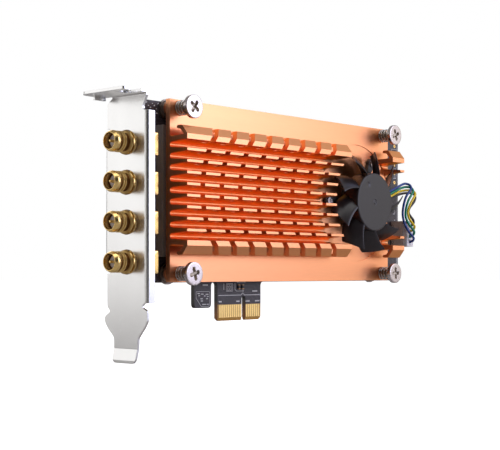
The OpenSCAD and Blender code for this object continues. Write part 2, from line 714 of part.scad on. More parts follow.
module antenna_jack(z) color("Goldenrod") {
    collar = barrel_l - mouth_chamfer - collar_l;
    difference() {
        union() {
            along_jack(z) rotate_extrude()
                polygon([[0, -sheet_t - leg_w], [jack_flange_r, -sheet_t - leg_w],
                    [jack_flange_r, jack_flange_out], [neck_r, jack_flange_out],
                    [neck_r, jack_flange_out + neck_l], [thread_r, jack_flange_out + neck_l],
                    [thread_r, collar - groove_l], [thread_r - groove_d, collar - groove_l],
                    [thread_r - groove_d, collar], [thread_r, collar],
                    [thread_r, barrel_l - mouth_chamfer], [mouth_r, barrel_l], [0, barrel_l]]);
            block([face_x + sheet_t, face_x + sheet_t + jack_body_l],
                [jack_y - jack_body_w / 2, front_y],
                [z - jack_body_w / 2, z + jack_body_w / 2]);
            for (p = leg_places())
                block([p[0] - leg_w / 2, p[0] + leg_w / 2],
                    [front_y - leg_w, back_y + leg_out],
                    [z + p[1] - leg_w / 2, z + p[1] + leg_w / 2]);
        }
        along_jack(z) translate([0, 0, barrel_l - jack_bore_d])
            cylinder(r = jack_bore_r, h = jack_bore_d + sheet_t);
        along_jack(z) translate([0, 0, jack_back + leg_w])
            cylinder(r = insulator_r, h = barrel_l - jack_back - leg_w);
        bar_y(jack_leg_x, z, [jack_y, board_t], insulator_r / 2);
    }
}

module jack_insulators() color("MistyRose")
    for (z = jack_z)
        difference() {
            along_jack(z) translate([0, 0, -jack_body_l / 2])
                cylinder(r = insulator_r, h = barrel_l - jack_bore_d + jack_body_l / 2);
            along_jack(z) translate([0, 0, -jack_body_l])
                cylinder(r = jack_pin_r, h = 2 * jack_body_l);
        }

module jack_pins() color("Gold")
    for (z = jack_z) {
        tip = barrel_l - jack_bore_d + jack_pin_l;
        along_jack(z) translate([0, 0, face_x - jack_leg_x - jack_pin_r]) {
            cylinder(r = jack_pin_r, h = tip + jack_leg_x - face_x + jack_pin_r / 2);
            translate([0, 0, tip + jack_leg_x - face_x + jack_pin_r / 2])
                cylinder(r1 = jack_pin_r, r2 = jack_pin_r / 2, h = jack_pin_r / 2);
        }
        bar_y(jack_leg_x, z, [jack_y, back_y + leg_out], jack_pin_r);
    }

// Heatsink: one extrusion, section in depth below the tips and height
function fin_point(h, z) = [plate_face - h, sink_mid + z];

function groove_points(z) =
    let (wt = (fin_pitch - fin_tip) / 2, wr = (fin_pitch - fin_root) / 2)
    [fin_point(fin_h, z - wt),
     for (p = arc([wr, z], wr, 270, 90, 6)) fin_point(p[0], p[1]),
     fin_point(fin_h, z + wt)];

function hook_points(side) =
    let (leg = (groove_count * fin_pitch - fin_tip) / 2 + outer_tip
        - hook_shares[0][1] * hook_reach)
    [for (s = hook_shares) fin_point(s[0] * fin_h, side * (leg + s[1] * hook_reach))];

function reversed(list) = [for (i = [len(list) - 1 : -1 : 0]) list[i]];

module sink_section() {
    half = (groove_count - 1) / 2;
    polygon(concat(
        [fin_point(-plate_t, -sink_h / 2), fin_point(0, -sink_h / 2)],
        reversed(hook_points(-1)),
        [for (k = [-half : half]) each groove_points(k * fin_pitch)],
        hook_points(1),
        [fin_point(0, sink_h / 2), fin_point(-plate_t, sink_h / 2)]));
}

module arc_cut(x) {
    floor_y = plate_face - fin_h + cut_d;
    top_y = plate_face - 2 * fin_h;
    intersection() {
        difference() {
            bar_y(x, sink_mid, [floor_y, top_y], cut_r + cut_w / 2);
            bar_y(x, sink_mid, [floor_y + cut_d, top_y - cut_d], cut_r - cut_w / 2);
        }
        block([x - 2 * cut_r, x - cut_r / 3], [floor_y, top_y],
            [sink_mid - cut_r, sink_mid + cut_r]);
    }
}

// Round room for the fan between the hooked outer fins, which end in straight planes.
module fan_pocket() {
    y = [front_y, plate_face - 3 * fin_h];
    gap_x = [fan_x - hook_gap_l / 2, fan_x + hook_gap_l / 2];
    intersection() {
        bar_y(fan_x, sink_mid, [pocket_y, plate_face - 2 * fin_h], pocket_r);
        union() {
            block([fan_x - 2 * pocket_r, fan_x + 2 * pocket_r], y,
                [sink_mid - pocket_h / 2, sink_mid + pocket_h / 2]);
            block(gap_x, y, [sink_mid - 2 * pocket_r, sink_mid + 2 * pocket_r]);
        }
    }
    block(gap_x, [plate_face, plate_face - 2 * fin_h], [sink_mid - sink_h, sink_mid + sink_h]);
}

module heatsink() color("Chocolate")
    difference() {
        union() {
            slab_x([sink_x0, sink_x0 + sink_l]) sink_section();
            for (x = screw_x, z = screw_z)
                bar_y(x, z, [plate_back, plate_back + boss_h], boss_r);
        }
        for (i = [0 : cut_count - 1]) arc_cut(fan_x - i * cut_pitch);
        fan_pocket();
        block([fan_x + pocket_r / 2, sink_x0 + sink_l + fin_h], [plate_face, plate_face - 2 * fin_h],
            [sink_mid - end_gap_h / 2, sink_mid + end_gap_h / 2]);
        for (x = screw_x, z = screw_z)
            bar_y(x, z, [front_y, plate_face - plate_t], screw_hole_r);
        for (a = arm_angles)
            bar_y(fan_x + base_screw_r * cos(a), sink_mid + base_screw_r * sin(a),
                [front_y, plate_face - plate_t], fan_shank_r);
    }

// Screws, springs and standoffs
module heatsink_screw(x, z) {
    difference() {
        union() {
            bar_y(x, z, [head_y, head_y + head_t], head_r);
            translate([x, head_y + head_t, z]) rotate([-90, 0, 0])
                cylinder(r1 = head_r, r2 = spring_r, h = head_cone);
            bar_y(x, z, [head_y + head_t, board_t / 2], shank_r);
        }
        block([x - recess_l / 2, x + recess_l / 2], [head_y - recess_d, head_y + recess_d],
            [z - recess_w / 2, z + recess_w / 2]);
        block([x - recess_w / 2, x + recess_w / 2], [head_y - recess_d, head_y + recess_d],
            [z - recess_l / 2, z + recess_l / 2]);
    }
}

module heatsink_screws() color("LightGray")
    for (x = screw_x, z = screw_z) heatsink_screw(x, z);

module screw_springs() color("Gray")
    for (x = screw_x, z = screw_z) {
        r = spring_r - spring_wire / 2;
        low = plate_face - spring_wire / 2;
        high = head_y + head_t + head_cone + spring_wire / 2;
        steps = spring_turns * 12;
        tube([for (i = [0 : steps])
            let (a = 360 * i / 12)
            [x + r * cos(a), low + (high - low) * i / steps, z + r * sin(a)]],
            spring_wire / 2, 6);
    }

module board_standoffs() color("Silver")
    for (x = screw_x, z = screw_z)
        difference() {
            union() {
                bar_y(x, z, [front_y, front_y - flange_t], flange_r);
                bar_y(x, z, [front_y, plate_back + boss_h], stand_r);
                bar_y(x, z, [front_y, back_y], foot_r);
            }
            bar_y(x, z, [-2 * board_t - sink_gap, 2 * board_t], shank_r);
        }

// Electronics under the heatsink
module shield_can(x) color("DimGray") {
    z = [sink_mid - can_w / 2, sink_mid + can_w / 2];
    difference() {
        block([x, x + can_l], [front_y, front_y - can_h], z);
        block([x + can_t, x + can_l - can_t], [front_y + can_h, front_y - can_h + can_t],
            [z[0] + can_t, z[1] - can_t]);
    }
}

module square_chip(x, z, w, h) {
    block([x - w / 2, x + w / 2], [front_y, front_y - h], [z - w / 2, z + w / 2]);
}

module radio_chips() color("DarkSlateGray")
    for (x = can_start) square_chip(x + can_l / 2, sink_mid, chip_w, chip_h);

module bridge_chip() color("DarkSlateGray")
    square_chip(bridge_x, sink_mid, bridge_w, bridge_h);

module thermal_pads() color("SlateGray") {
    for (x = can_start)
        block([x + pad_edge, x + can_l - pad_edge], [front_y - can_h, plate_back],
            [sink_mid - can_w / 2 + pad_edge, sink_mid + can_w / 2 - pad_edge]);
    block([bridge_x - bridge_w / 2, bridge_x + bridge_w / 2], [front_y - bridge_h, plate_back],
        [sink_mid - bridge_w / 2, sink_mid + bridge_w / 2]);
}

module power_coil() color("Gray")
    square_chip(bridge_x, sink_mid - bridge_w, coil_w, coil_h);

module crystal() color("Silver")
    block([bridge_x - crystal_l / 2, bridge_x + crystal_l / 2], [front_y, front_y - crystal_h],
        [sink_mid + bridge_w - crystal_w / 2, sink_mid + bridge_w + crystal_w / 2]);

module memory_chip() color("DarkSlateGray") {
    x = can_start[0] + can_l + can_gap / 2;
    block([x - memory_l / 2, x + memory_l / 2], [back_y, back_y + memory_h],
        [sink_mid - memory_w / 2, sink_mid + memory_w / 2]);
}

function board_place(s) =
    [face_x + board_gap + s[0] * (key_to_end - face_x - board_gap), s[1] * board_top];

// Small parts around the bridge chip, the crystal and the coil
function front_places() = concat(
    [for (s = key_part_shares) board_place(s)],
    [for (k = [0 : 2]) [bridge_x - bridge_w / 2 - part_gap - chip_part_w / 2,
        sink_mid - bridge_w / 2 + k * part_step]],
    [for (k = [-1 : 1]) [bridge_x + k * part_step,
        sink_mid + bridge_w + crystal_w / 2 + part_gap]],
    [for (k = [0 : 1]) [bridge_x - k * part_step,
        sink_mid - bridge_w - coil_w / 2 - part_gap - chip_part_l]],
    [for (k = [0 : 1]) [bridge_x + bridge_w,
        sink_mid - 1.5 * bridge_w + k * part_step]]);

module small_part(p, y, side)
    block([p[0] - chip_part_w / 2, p[0] + chip_part_w / 2], [y, y + side * chip_part_h],
        [p[1], p[1] + chip_part_l]);

module front_small_parts() color("SaddleBrown")
    for (p = front_places()) small_part(p, front_y, -1);

module rear_small_parts() color("SaddleBrown")
    for (s = back_part_shares) small_part(board_place(s), back_y, 1);

// Fan, around its axis along Y
module ring_y(y, outer, inner) {
    difference() {
        bar_y(fan_x, sink_mid, y, outer);
        bar_y(fan_x, sink_mid, [max(y) + base_t, min(y) - base_t], inner);
    }
}

tube_front = hub_y + hub_t + 2 * shaft_r;

// Flat outline of the fan's base: a disc with three arms and their screw holes.
module base_outline() {
    translate([fan_x, sink_mid])
        difference() {
            union() {
                circle(base_r);
                for (a = arm_angles)
                    rotate(a) {
                        translate([0, -arm_w / 2]) square([base_screw_r, arm_w]);
                        translate([base_screw_r, 0]) circle(arm_end_r);
                    }
            }
            for (a = arm_angles)
                rotate(a) translate([base_screw_r, 0]) circle(fan_shank_r);
        }
}

module fan_base() color("DimGray")
    difference() {
        union() {
            slab_y([pocket_y, base_y]) base_outline();
            bar_y(fan_x, sink_mid, [pocket_y - base_t / 2, tube_front + shaft_r], tube_r);
        }
        bar_y(fan_x, sink_mid, [pocket_y - base_t / 3, tube_front - base_t], bearing_r);
    }

bearing_back = pocket_y - base_t;
module fan_bearing() color("DarkGoldenrod")
    ring_y([bearing_back, tube_front + shaft_r], bearing_r, shaft_r + shaft_gap);

module fan_shaft() color("LightGray")
    bar_y(fan_x, sink_mid, [pocket_y - base_t / 2, hub_y + hub_t / 2], shaft_r);

module shaft_retainer() color("WhiteSmoke")
    ring_y([pocket_y - base_t * 0.6, pocket_y - base_t * 0.85], 2 * shaft_r, shaft_r);

module fan_circuit_board() color("DarkGreen")
    ring_y([base_y, base_y - fan_board_t], base_r, tube_r);

stator_y = base_y - fan_board_t - winding_t;
// Flat outline of the stator core: a ring, four arms and their curved ends.
module stator_outline() {
    translate([fan_x, sink_mid])
        difference() {
            union() {
                circle(tube_r + stator_arm);
                for (a = [45 : 90 : 315])
                    rotate(a) {
                        translate([0, -stator_arm / 2])
                            square([stator_r - stator_arm / 4, stator_arm]);
                        intersection() {
                            difference() {
                                circle(stator_r);
                                circle(stator_r - stator_arm / 2);
                            }
                            translate([0, -stator_r / 2]) square([2 * stator_r, stator_r]);
                        }
                    }
            }
            circle(tube_r);
        }
}

module fan_stator() color("Gray")
    slab_y([stator_y, stator_y - stator_t]) stator_outline();

module fan_windings() color("Peru")
    for (a = [45 : 90 : 315])
        translate([fan_x, 0, sink_mid]) rotate([0, -a, 0]) {
            x = [tube_r + 1.2 * stator_arm, stator_r - 0.8 * stator_arm];
            w = stator_arm / 2 + 0.8 * winding_t;
            difference() {
                block(x, [stator_y + 0.8 * winding_t, stator_y - stator_t - 0.8 * winding_t],
                    [-w, w]);
                block([0, stator_r], [stator_y, stator_y - stator_t],
                    [-stator_arm / 2, stator_arm / 2]);
            }
        }

// One curved blade: front edge at the hub's front, rear edge turned back by the chord.
function blade_point(u, v, t) =
    let (r = hub_r - hub_wall / 2 + (blade_r - hub_r + hub_wall / 2) * u,
         front = -blade_sweep * (1 - u) * (1 - 0.35 * u),
         chord = blade_chord_hub + (blade_chord_tip - blade_chord_hub) * u,
         bow = 0.16 * chord * sin(180 * v),
         a = front - chord * v - bow + t * 57.3 * blade_t / r,
         y0 = hub_y + blade_front, y1 = rotor_back - blade_t / 5)
    [r * cos(a), y0 + (y1 - y0) * v, r * sin(a)];

module blade(n = 4) {
    m = n + 1;
    points = [for (t = [-0.5, 0.5], i = [0 : n], j = [0 : n]) blade_point(i / n, j / n, t)];
    function id(k, i, j) = k * m * m + i * m + j;
    sheet = [for (k = [0, 1], i = [0 : n - 1], j = [0 : n - 1])
        let (a = id(k, i, j), b = id(k, i + 1, j), c = id(k, i + 1, j + 1), d = id(k, i, j + 1))
        each k == 0 ? [[a, b, c], [a, c, d]] : [[a, c, b], [a, d, c]]];
    rim = [for (q = [0 : 3], i = [0 : n - 1])
        let (p = [[i, 0, i + 1, 0], [n, i, n, i + 1], [n - i, n, n - i - 1, n],
                [0, n - i, 0, n - i - 1]][q],
            a = id(0, p[0], p[1]), b = id(0, p[2], p[3]), c = id(1, p[2], p[3]),
            d = id(1, p[0], p[1]))
        each [[a, c, b], [a, d, c]]];
    polyhedron(points, concat(sheet, rim));
}

module fan_rotor() color("DimGray")
    difference() {
        union() {
            translate([fan_x, 0, sink_mid]) rotate([90, 0, 0]) rotate_extrude()
                polygon([[0, -hub_y], [0, -hub_y - hub_t - 1.2 * shaft_r],
                    [2 * shaft_r, -hub_y - hub_t - 1.2 * shaft_r], [2 * shaft_r, -hub_y - hub_t],
                    [hub_r - hub_wall, -hub_y - hub_t], [hub_r - hub_wall, -rotor_back],
                    [hub_r, -rotor_back], [hub_r, -hub_y - hub_edge], [hub_r - hub_edge, -hub_y]]);
            for (i = [0 : blade_count - 1])
                translate([fan_x, 0, sink_mid]) rotate([0, -blade_start - 360 * i / blade_count, 0])
                    blade();
        }
        bar_y(fan_x, sink_mid, [hub_y + hub_t / 2, rotor_back], shaft_r);
        bar_y(fan_x, sink_mid, [hub_y - hub_t, hub_y + hub_t / 5], dimple_r);
    }

module rotor_yoke() color("Silver")
    ring_y([hub_y + hub_t, rotor_back - hub_wall], hub_r - hub_wall, hub_r - hub_wall - yoke_t);

module rotor_magnet() color("DarkSlateGray")
    ring_y([hub_y + hub_t, rotor_back - hub_wall], hub_r - hub_wall - yoke_t,
        hub_r - hub_wall - yoke_t - magnet_t);

module fan_screws() color("Silver")
    for (a = arm_angles) {
        x = fan_x + base_screw_r * cos(a);
        z = sink_mid + base_screw_r * sin(a);
        difference() {
            union() {
                bar_y(x, z, [base_y, base_y - fan_head_t], fan_head_r);
                bar_y(x, z, [base_y, plate_back], fan_shank_r);
            }
            block([x - 0.6 * fan_head_r, x + 0.6 * fan_head_r],
                [base_y - 2 * fan_head_t, base_y - fan_head_t / 2],
                [z - 0.16 * fan_head_r, z + 0.16 * fan_head_r]);
            block([x - 0.16 * fan_head_r, x + 0.16 * fan_head_r],
                [base_y - 2 * fan_head_t, base_y - fan_head_t / 2],
                [z - 0.6 * fan_head_r, z + 0.6 * fan_head_r]);
        }
    }

// Fan header and plug
header_z = [header_mid - header_l / 2, header_mid + header_l / 2];
pin_x = header_x0 + header_w / 2;

module fan_header() color("WhiteSmoke")
    difference() {
        block([header_x0, header_x0 + header_w], [front_y, header_y], header_z);
        block([header_x0 + header_wall, header_x0 + header_w - header_wall],
            [front_y - header_floor, header_y - header_h],
            [header_z[0] + header_wall, header_z[1] - header_wall]);
        for (z = pin_z)
            block([pin_x - header_pin / 2, pin_x + header_pin / 2], [back_y, header_y],
                [z - header_pin / 2, z + header_pin / 2]);
    }

module header_pins() color("Gold")
    for (z = pin_z)
        block([pin_x - header_pin / 2, pin_x + header_pin / 2],
            [back_y + leg_out, header_y + header_floor],
            [z - header_pin / 2, z + header_pin / 2]);

module fan_plug() color("White") {
    inset = header_wall + plug_gap;
    difference() {
        union() {
            block([header_x0 + inset, header_x0 + header_w - inset],
                [front_y - header_floor - plug_gap, plug_y],
                [header_z[0] + inset, header_z[1] - inset]);
            block([header_x0 + plug_gap, header_x0 + header_w - plug_gap],
                [header_y - plug_gap, plug_y],
                [header_z[0] + plug_gap, header_z[1] - plug_gap]);
        }
        for (z = pin_z)
            block([pin_x - crimp_w / 2, pin_x + crimp_w / 2],
                [front_y, plug_y - header_floor], [z - crimp_w / 2, z + crimp_w / 2]);
    }
}

module plug_contacts() color("Silver")
    for (z = pin_z)
        difference() {
            block([pin_x - crimp_w / 2, pin_x + crimp_w / 2],
                [front_y - header_floor - 2 * plug_gap, plug_y + wire_d],
                [z - crimp_w / 2, z + crimp_w / 2]);
            block([pin_x - header_pin / 2, pin_x + header_pin / 2],
                [front_y, header_y + header_floor / 2],
                [z - header_pin / 2, z + header_pin / 2]);
        }

module wire(path, shade) color(shade) {
    rings = 19;
    tube([for (i = [0 : rings]) spline(path, i * (len(path) - 1) / rings)], wire_d / 2, 8);
}

bracket();
circuit_board();
edge_contacts();
antenna_jack(jack_z[0]);  // antenna_jack_1
antenna_jack(jack_z[1]);  // antenna_jack_2
antenna_jack(jack_z[2]);  // antenna_jack_3
antenna_jack(jack_z[3]);  // antenna_jack_4
jack_insulators();
jack_pins();
heatsink();
heatsink_screws();
screw_springs();
board_standoffs();
shield_can(can_start[0]);  // radio_shield_1
shield_can(can_start[1]);  // radio_shield_2
radio_chips();
bridge_chip();
memory_chip();
power_coil();
crystal();
thermal_pads();
front_small_parts();
rear_small_parts();
test_points();
fan_base();
fan_bearing();
fan_shaft();
shaft_retainer();
fan_circuit_board();
fan_stator();
fan_windings();
fan_rotor();
rotor_yoke();
rotor_magnet();
fan_screws();
fan_header();
header_pins();
fan_plug();
plug_contacts();
wire(blue_path, "MidnightBlue");  // wire_blue
wire(green_path, "SeaGreen");  // wire_green
wire(yellow_path, "Gold");  // wire_yellow
wire(black_path, "Black");  // wire_black
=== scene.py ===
import math

import bmesh
import bpy
import numpy as np
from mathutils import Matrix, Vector


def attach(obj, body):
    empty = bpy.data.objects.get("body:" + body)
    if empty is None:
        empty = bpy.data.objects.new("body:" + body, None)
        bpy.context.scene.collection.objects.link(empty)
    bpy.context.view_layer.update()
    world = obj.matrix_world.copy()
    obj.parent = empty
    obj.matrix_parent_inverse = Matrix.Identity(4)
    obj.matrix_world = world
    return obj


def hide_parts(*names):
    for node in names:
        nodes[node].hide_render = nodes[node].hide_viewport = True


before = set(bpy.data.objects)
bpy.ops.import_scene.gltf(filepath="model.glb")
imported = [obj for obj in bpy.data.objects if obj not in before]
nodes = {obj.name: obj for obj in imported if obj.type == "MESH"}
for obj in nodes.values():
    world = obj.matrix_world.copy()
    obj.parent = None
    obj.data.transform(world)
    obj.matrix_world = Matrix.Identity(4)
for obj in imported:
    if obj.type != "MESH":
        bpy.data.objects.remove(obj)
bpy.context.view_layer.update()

# The script works in millimetres and turns them into metres where a mesh is made.
mm = 0.001

# places that the pieces share, the same as in the part's source
place = {
    "face": -57.15,  # outer face of the bracket
    "front": -0.785,  # component side of the board
    "back": 0.785,  # rear side of the board
    "jackY": -5.685,
    "jackZ": [54.4, 42.6, 30.8, 19.0],
    "plate": -6.785,  # front face of the heatsink's plate
    "fanX": 54.35,
    "fanZ": 41.0,
    "hubFront": -15.285,
    "rotorBack": -8.785,
    "screwX": [-35.95, 70.05],
    "screwZ": [15.5, 66.5],
    "headFront": -13.285,
    "pinX": 86.9,
    "pinZ": [33.5, 31.5, 29.5, 27.5],
    "legX": -50.71,  # middle of the jacks' legs, which stand off it by legOff both ways
    "legOff": 2.54,
    "boardX": -55.55,  # left end of the board
    "boardLength": 144.8,
    "boardHeight": 68.9,
}
print("frame loaded:", len(nodes), "CAD nodes")


# mesh helpers

def shell(points, closeU=False, closeV=False):
    # quads between neighbouring rows and columns of a grid of points
    nu, nv = points.shape[:2]
    i, j = np.meshgrid(np.arange(nu if closeU else nu - 1), np.arange(nv if closeV else nv - 1),
        indexing="ij")
    a, b = i * nv + j, (i + 1) % nu * nv + j
    c, d = (i + 1) % nu * nv + (j + 1) % nv, i * nv + (j + 1) % nv
    return points.reshape(-1, 3), np.stack([a, b, c, d], -1).reshape(-1, 4)


def outX(p, x, y, z):
    # local Z points out of the bracket, along -X
    return np.stack([x - p[..., 2], y + p[..., 0], z + p[..., 1]], -1)


def outY(p, x, y, z):
    # local Z points towards the heatsink's side, along -Y
    return np.stack([x + p[..., 0], y - p[..., 2], z + p[..., 1]], -1)


def revolved(profile, count=48):
    # a profile of (z, r) pairs turned round local Z: each point becomes (r cos a, r sin a, z)
    profile = np.array(profile, float)
    a = np.linspace(0, 2 * np.pi, count, endpoint=False)
    axis = np.repeat(profile[:, :1], count, 1)
    return np.stack([profile[:, 1:] * np.cos(a), profile[:, 1:] * np.sin(a), axis], -1)


def roundedBlock(x, y, z, corner=0.2, edge=0.12, axis=1, count=5):
    # a rectangle with round corners carried along one axis and closed at both ends; within the edge's width
    # of an end, at edge * (1 - sin k) from it, the outline draws in by edge * (1 - cos k)
    spans = [x, y, z]
    lo, hi = spans[axis]
    u, v = [k for k in (0, 1, 2) if k != axis]
    mid = [(spans[u][0] + spans[u][1]) / 2, (spans[v][0] + spans[v][1]) / 2]
    half = [(spans[u][1] - spans[u][0]) / 2, (spans[v][1] - spans[v][0]) / 2]
    corner = min(corner, half[0] * 0.98, half[1] * 0.98)
    t = np.linspace(0, np.pi / 2, count)
    a = np.concatenate([t + k * np.pi / 2 for k in range(4)])
    sx = np.repeat([1, -1, -1, 1], count)
    sz = np.repeat([1, 1, -1, -1], count)
    rows = []
    e = np.linspace(0, np.pi / 2, 4)
    steps = [(lo, None)] + [(lo + edge * (1 - math.sin(k)), edge * (1 - math.cos(k))) for k in e[::-1]]
    steps += [(hi - edge * (1 - math.sin(k)), edge * (1 - math.cos(k))) for k in e] + [(hi, None)]
    for at, draw in steps:
        p = np.zeros((len(a), 3))
        if draw is None:
            p[:, u], p[:, v] = mid
        else:
            inset, past = corner - min(draw, corner * 0.9), max(0, draw - corner * 0.9)
            p[:, u] = mid[0] + sx * (half[0] - corner) + inset * np.cos(a) - sx * past
            p[:, v] = mid[1] + sz * (half[1] - corner) + inset * np.sin(a) - sz * past
        p[:, axis] = at
        rows.append(p)
    return shell(np.array(rows), closeV=True)


def smoothPath(points, count):
    # a cubic through the points (Catmull-Rom): at each point its direction is the line between the two
    # neighbours, halved
    p = np.array(points, float)
    q = np.vstack([p[:1], p, p[-1:]])
    s = np.linspace(0, len(p) - 1, count)
    i = np.minimum(s.astype(int), len(p) - 2)
    t = (s - i)[:, None]
    a, b, c, d = q[i], q[i + 1], q[i + 2], q[i + 3]
    return 0.5 * (2 * b + (c - a) * t + (2 * a - 5 * b + 4 * c - d) * t * t + (3 * b - a - 3 * c + d) * t ** 3)


def tube(path, radius, sides=12):
    # a circle carried along a path, with its frame turned as little as possible from ring to ring
    path = np.array(path, float)
    along = np.gradient(path, axis=0)
    along /= np.linalg.norm(along, axis=1)[:, None]
    side = np.zeros_like(path)
    ref = np.array([0.0, 0, 1]) if abs(along[0, 2]) < 0.9 else np.array([1.0, 0, 0])
    side[0] = np.cross(along[0], ref)
    side[0] /= np.linalg.norm(side[0])
    for k in range(1, len(path)):
        side[k] = side[k - 1] - along[k] * (side[k - 1] @ along[k])
        side[k] /= np.linalg.norm(side[k])
    up = np.cross(along, side)
    a = np.linspace(0, 2 * np.pi, sides, endpoint=False)
    radius = np.broadcast_to(radius, len(path))[:, None, None]
    rings = path[:, None] + radius * (np.cos(a)[None, :, None] * side[:, None] + np.sin(a)[None, :,
        None] * up[:, None])
    ends = np.repeat(path[[0, -1], None], sides, 1)
    return shell(np.concatenate([ends[:1], rings, ends[1:]]), closeV=True)


def finishMesh(mesh, sharp):
    # merges doubles, turns the faces outwards and keeps edges sharper than the angle crisp
    b = bmesh.new()
    b.from_mesh(mesh)
    bmesh.ops.remove_doubles(b, verts=b.verts, dist=2e-6)
    bmesh.ops.dissolve_degenerate(b, edges=b.edges, dist=1e-7)
    bmesh.ops.recalc_face_normals(b, faces=b.faces)
    b.to_mesh(mesh)
    b.free()
    mesh.shade_smooth()
    mesh.set_sharp_from_angle(angle=math.radians(sharp))


def addPiece(name, shells, material, body="card", replaces=(), sharp=40, paintedShade=None):
    # each point gets a number from 0 to 1, read by the material as an attribute: how much painted shade it gets
    points, faces, start = [], [], 0
    for p, f in shells:
        points.append(p)
        faces.append(f + start)
        start += len(p)
    mesh = bpy.data.meshes.new(name)
    mesh.from_pydata((np.concatenate(points) * mm).tolist(), [], np.concatenate(faces).tolist())
    if paintedShade is not None:
        mesh.attributes.new("paintedShade", "FLOAT", "POINT").data.foreach_set("value",
            np.asarray(paintedShade, np.float32).ravel())
    finishMesh(mesh, sharp)
    mesh.materials.append(material)
    piece = bpy.data.objects.new(name, mesh)
    bpy.context.scene.collection.objects.link(piece)
    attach(piece, body)
    if replaces:
        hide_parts(*replaces)
    return piece


def softened(name, node, material, width, body="card", sharp=32):
    # a merged copy of a CAD node whose edges get a narrow round
    mesh = nodes[node].data.copy()
    mesh.name = name
    if "custom_normal" in mesh.attributes:
        mesh.attributes.remove(mesh.attributes["custom_normal"])
    b = bmesh.new()
    b.from_mesh(mesh)
    bmesh.ops.remove_doubles(b, verts=b.verts, dist=1e-6)
    bmesh.ops.dissolve_limit(b, angle_limit=math.radians(0.4), verts=b.verts, edges=b.edges)
    b.to_mesh(mesh)
    b.free()
    mesh.materials.clear()
    mesh.materials.append(material)
    mesh.shade_smooth()
    mesh.set_sharp_from_angle(angle=math.radians(sharp))
    piece = bpy.data.objects.new(name, mesh)
    bpy.context.scene.collection.objects.link(piece)
    if width:
        bevel = piece.modifiers.new("softEdge", "BEVEL")
        bevel.width = width * mm
        bevel.segments = 2
        bevel.limit_method = "ANGLE"
        bevel.angle_limit = math.radians(sharp)
        bevel.use_clamp_overlap = True
        weigh = piece.modifiers.new("flatFaces", "WEIGHTED_NORMAL")
        weigh.weight = 100
        weigh.keep_sharp = True
    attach(piece, body)
    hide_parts(node)
    return piece


# finishes

def newMaterial(name, color, rough, metal):
    # a Principled finish with its constant colour, roughness and metallic value
    material = bpy.data.materials.new(name)
    material.use_nodes = True
    shader = material.node_tree.nodes["Principled BSDF"]
    shader.inputs["Base Color"].default_value = (*color, 1)
    shader.inputs["Roughness"].default_value = rough
    shader.inputs["Metallic"].default_value = metal
    return material, material.node_tree, shader


def addNoise(tree, scale, stretch=(1, 1, 1), detail=4.0):
    # noise on Object coordinates, drawn out along an axis by the stretch
    n, link = tree.nodes, tree.links.new
    coords = n.new("ShaderNodeTexCoord")
    mapping = n.new("ShaderNodeMapping")
    mapping.inputs["Scale"].default_value = stretch
    noise = n.new("ShaderNodeTexNoise")
    noise.inputs["Scale"].default_value = scale
    noise.inputs["Detail"].default_value = detail
    link(coords.outputs["Object"], mapping.inputs["Vector"])
    link(mapping.outputs["Vector"], noise.inputs["Vector"])
    return noise


def ramp(tree, source, low, high, start=0.3, end=0.7):
    # goes from one colour to the other as the source goes from start to end
    r = tree.nodes.new("ShaderNodeValToRGB")
    r.color_ramp.elements[0].position, r.color_ramp.elements[1].position = start, end
    r.color_ramp.elements[0].color = (*low, 1)
    r.color_ramp.elements[1].color = (*high, 1)
    tree.links.new(source, r.inputs["Fac"])
    return r.outputs["Color"]


def spread(tree, source, low, high):
    # carries the source from 0 to 1 evenly over to low to high
    r = tree.nodes.new("ShaderNodeMapRange")
    r.inputs["To Min"].default_value, r.inputs["To Max"].default_value = low, high
    tree.links.new(source, r.inputs["Value"])
    return r.outputs["Result"]


def addBump(tree, source, strength, depth, under=None):
    # tilts the normal by the slope of the source times the depth in mm, over the bump under it
    b = tree.nodes.new("ShaderNodeBump")
    b.inputs["Strength"].default_value = strength
    b.inputs["Distance"].default_value = depth * mm
    tree.links.new(source, b.inputs["Height"])
    if under is not None:
        tree.links.new(under, b.inputs["Normal"])
    return b.outputs["Normal"]


def grainy(name, color, rough, metal=0.0, grain=2500, stretch=(1, 1, 1), tone=0.12, uneven=0.08, bump=0.2,
    depth=0.02, patches=60, sockets=None):
    # fine grain for bump and gloss, and slow patches for the tone: the colour goes from 1 - tone to 1 + tone
    # times itself, the roughness from rough - uneven to rough + uneven; depth in mm
    material, tree, shader = newMaterial(name, color, rough, metal)
    fine = addNoise(tree, grain, stretch)
    slow = addNoise(tree, patches, stretch, 2.0)
    both = tree.nodes.new("ShaderNodeMix")
    both.inputs["Factor"].default_value = 0.5
    tree.links.new(fine.outputs["Fac"], both.inputs["A"])
    tree.links.new(slow.outputs["Fac"], both.inputs["B"])
    dark = tuple(c * (1 - tone) for c in color)
    light = tuple(min(1.0, c * (1 + tone)) for c in color)
    tree.links.new(ramp(tree, both.outputs["Result"], dark, light), shader.inputs["Base Color"])
    tree.links.new(spread(tree, fine.outputs["Fac"], max(0.02, rough - uneven), min(1, rough + uneven)),
        shader.inputs["Roughness"])
    tree.links.new(addBump(tree, fine.outputs["Fac"], bump, depth), shader.inputs["Normal"])
    for key, value in (sockets or {}).items():
        shader.inputs[key].default_value = value
    return material


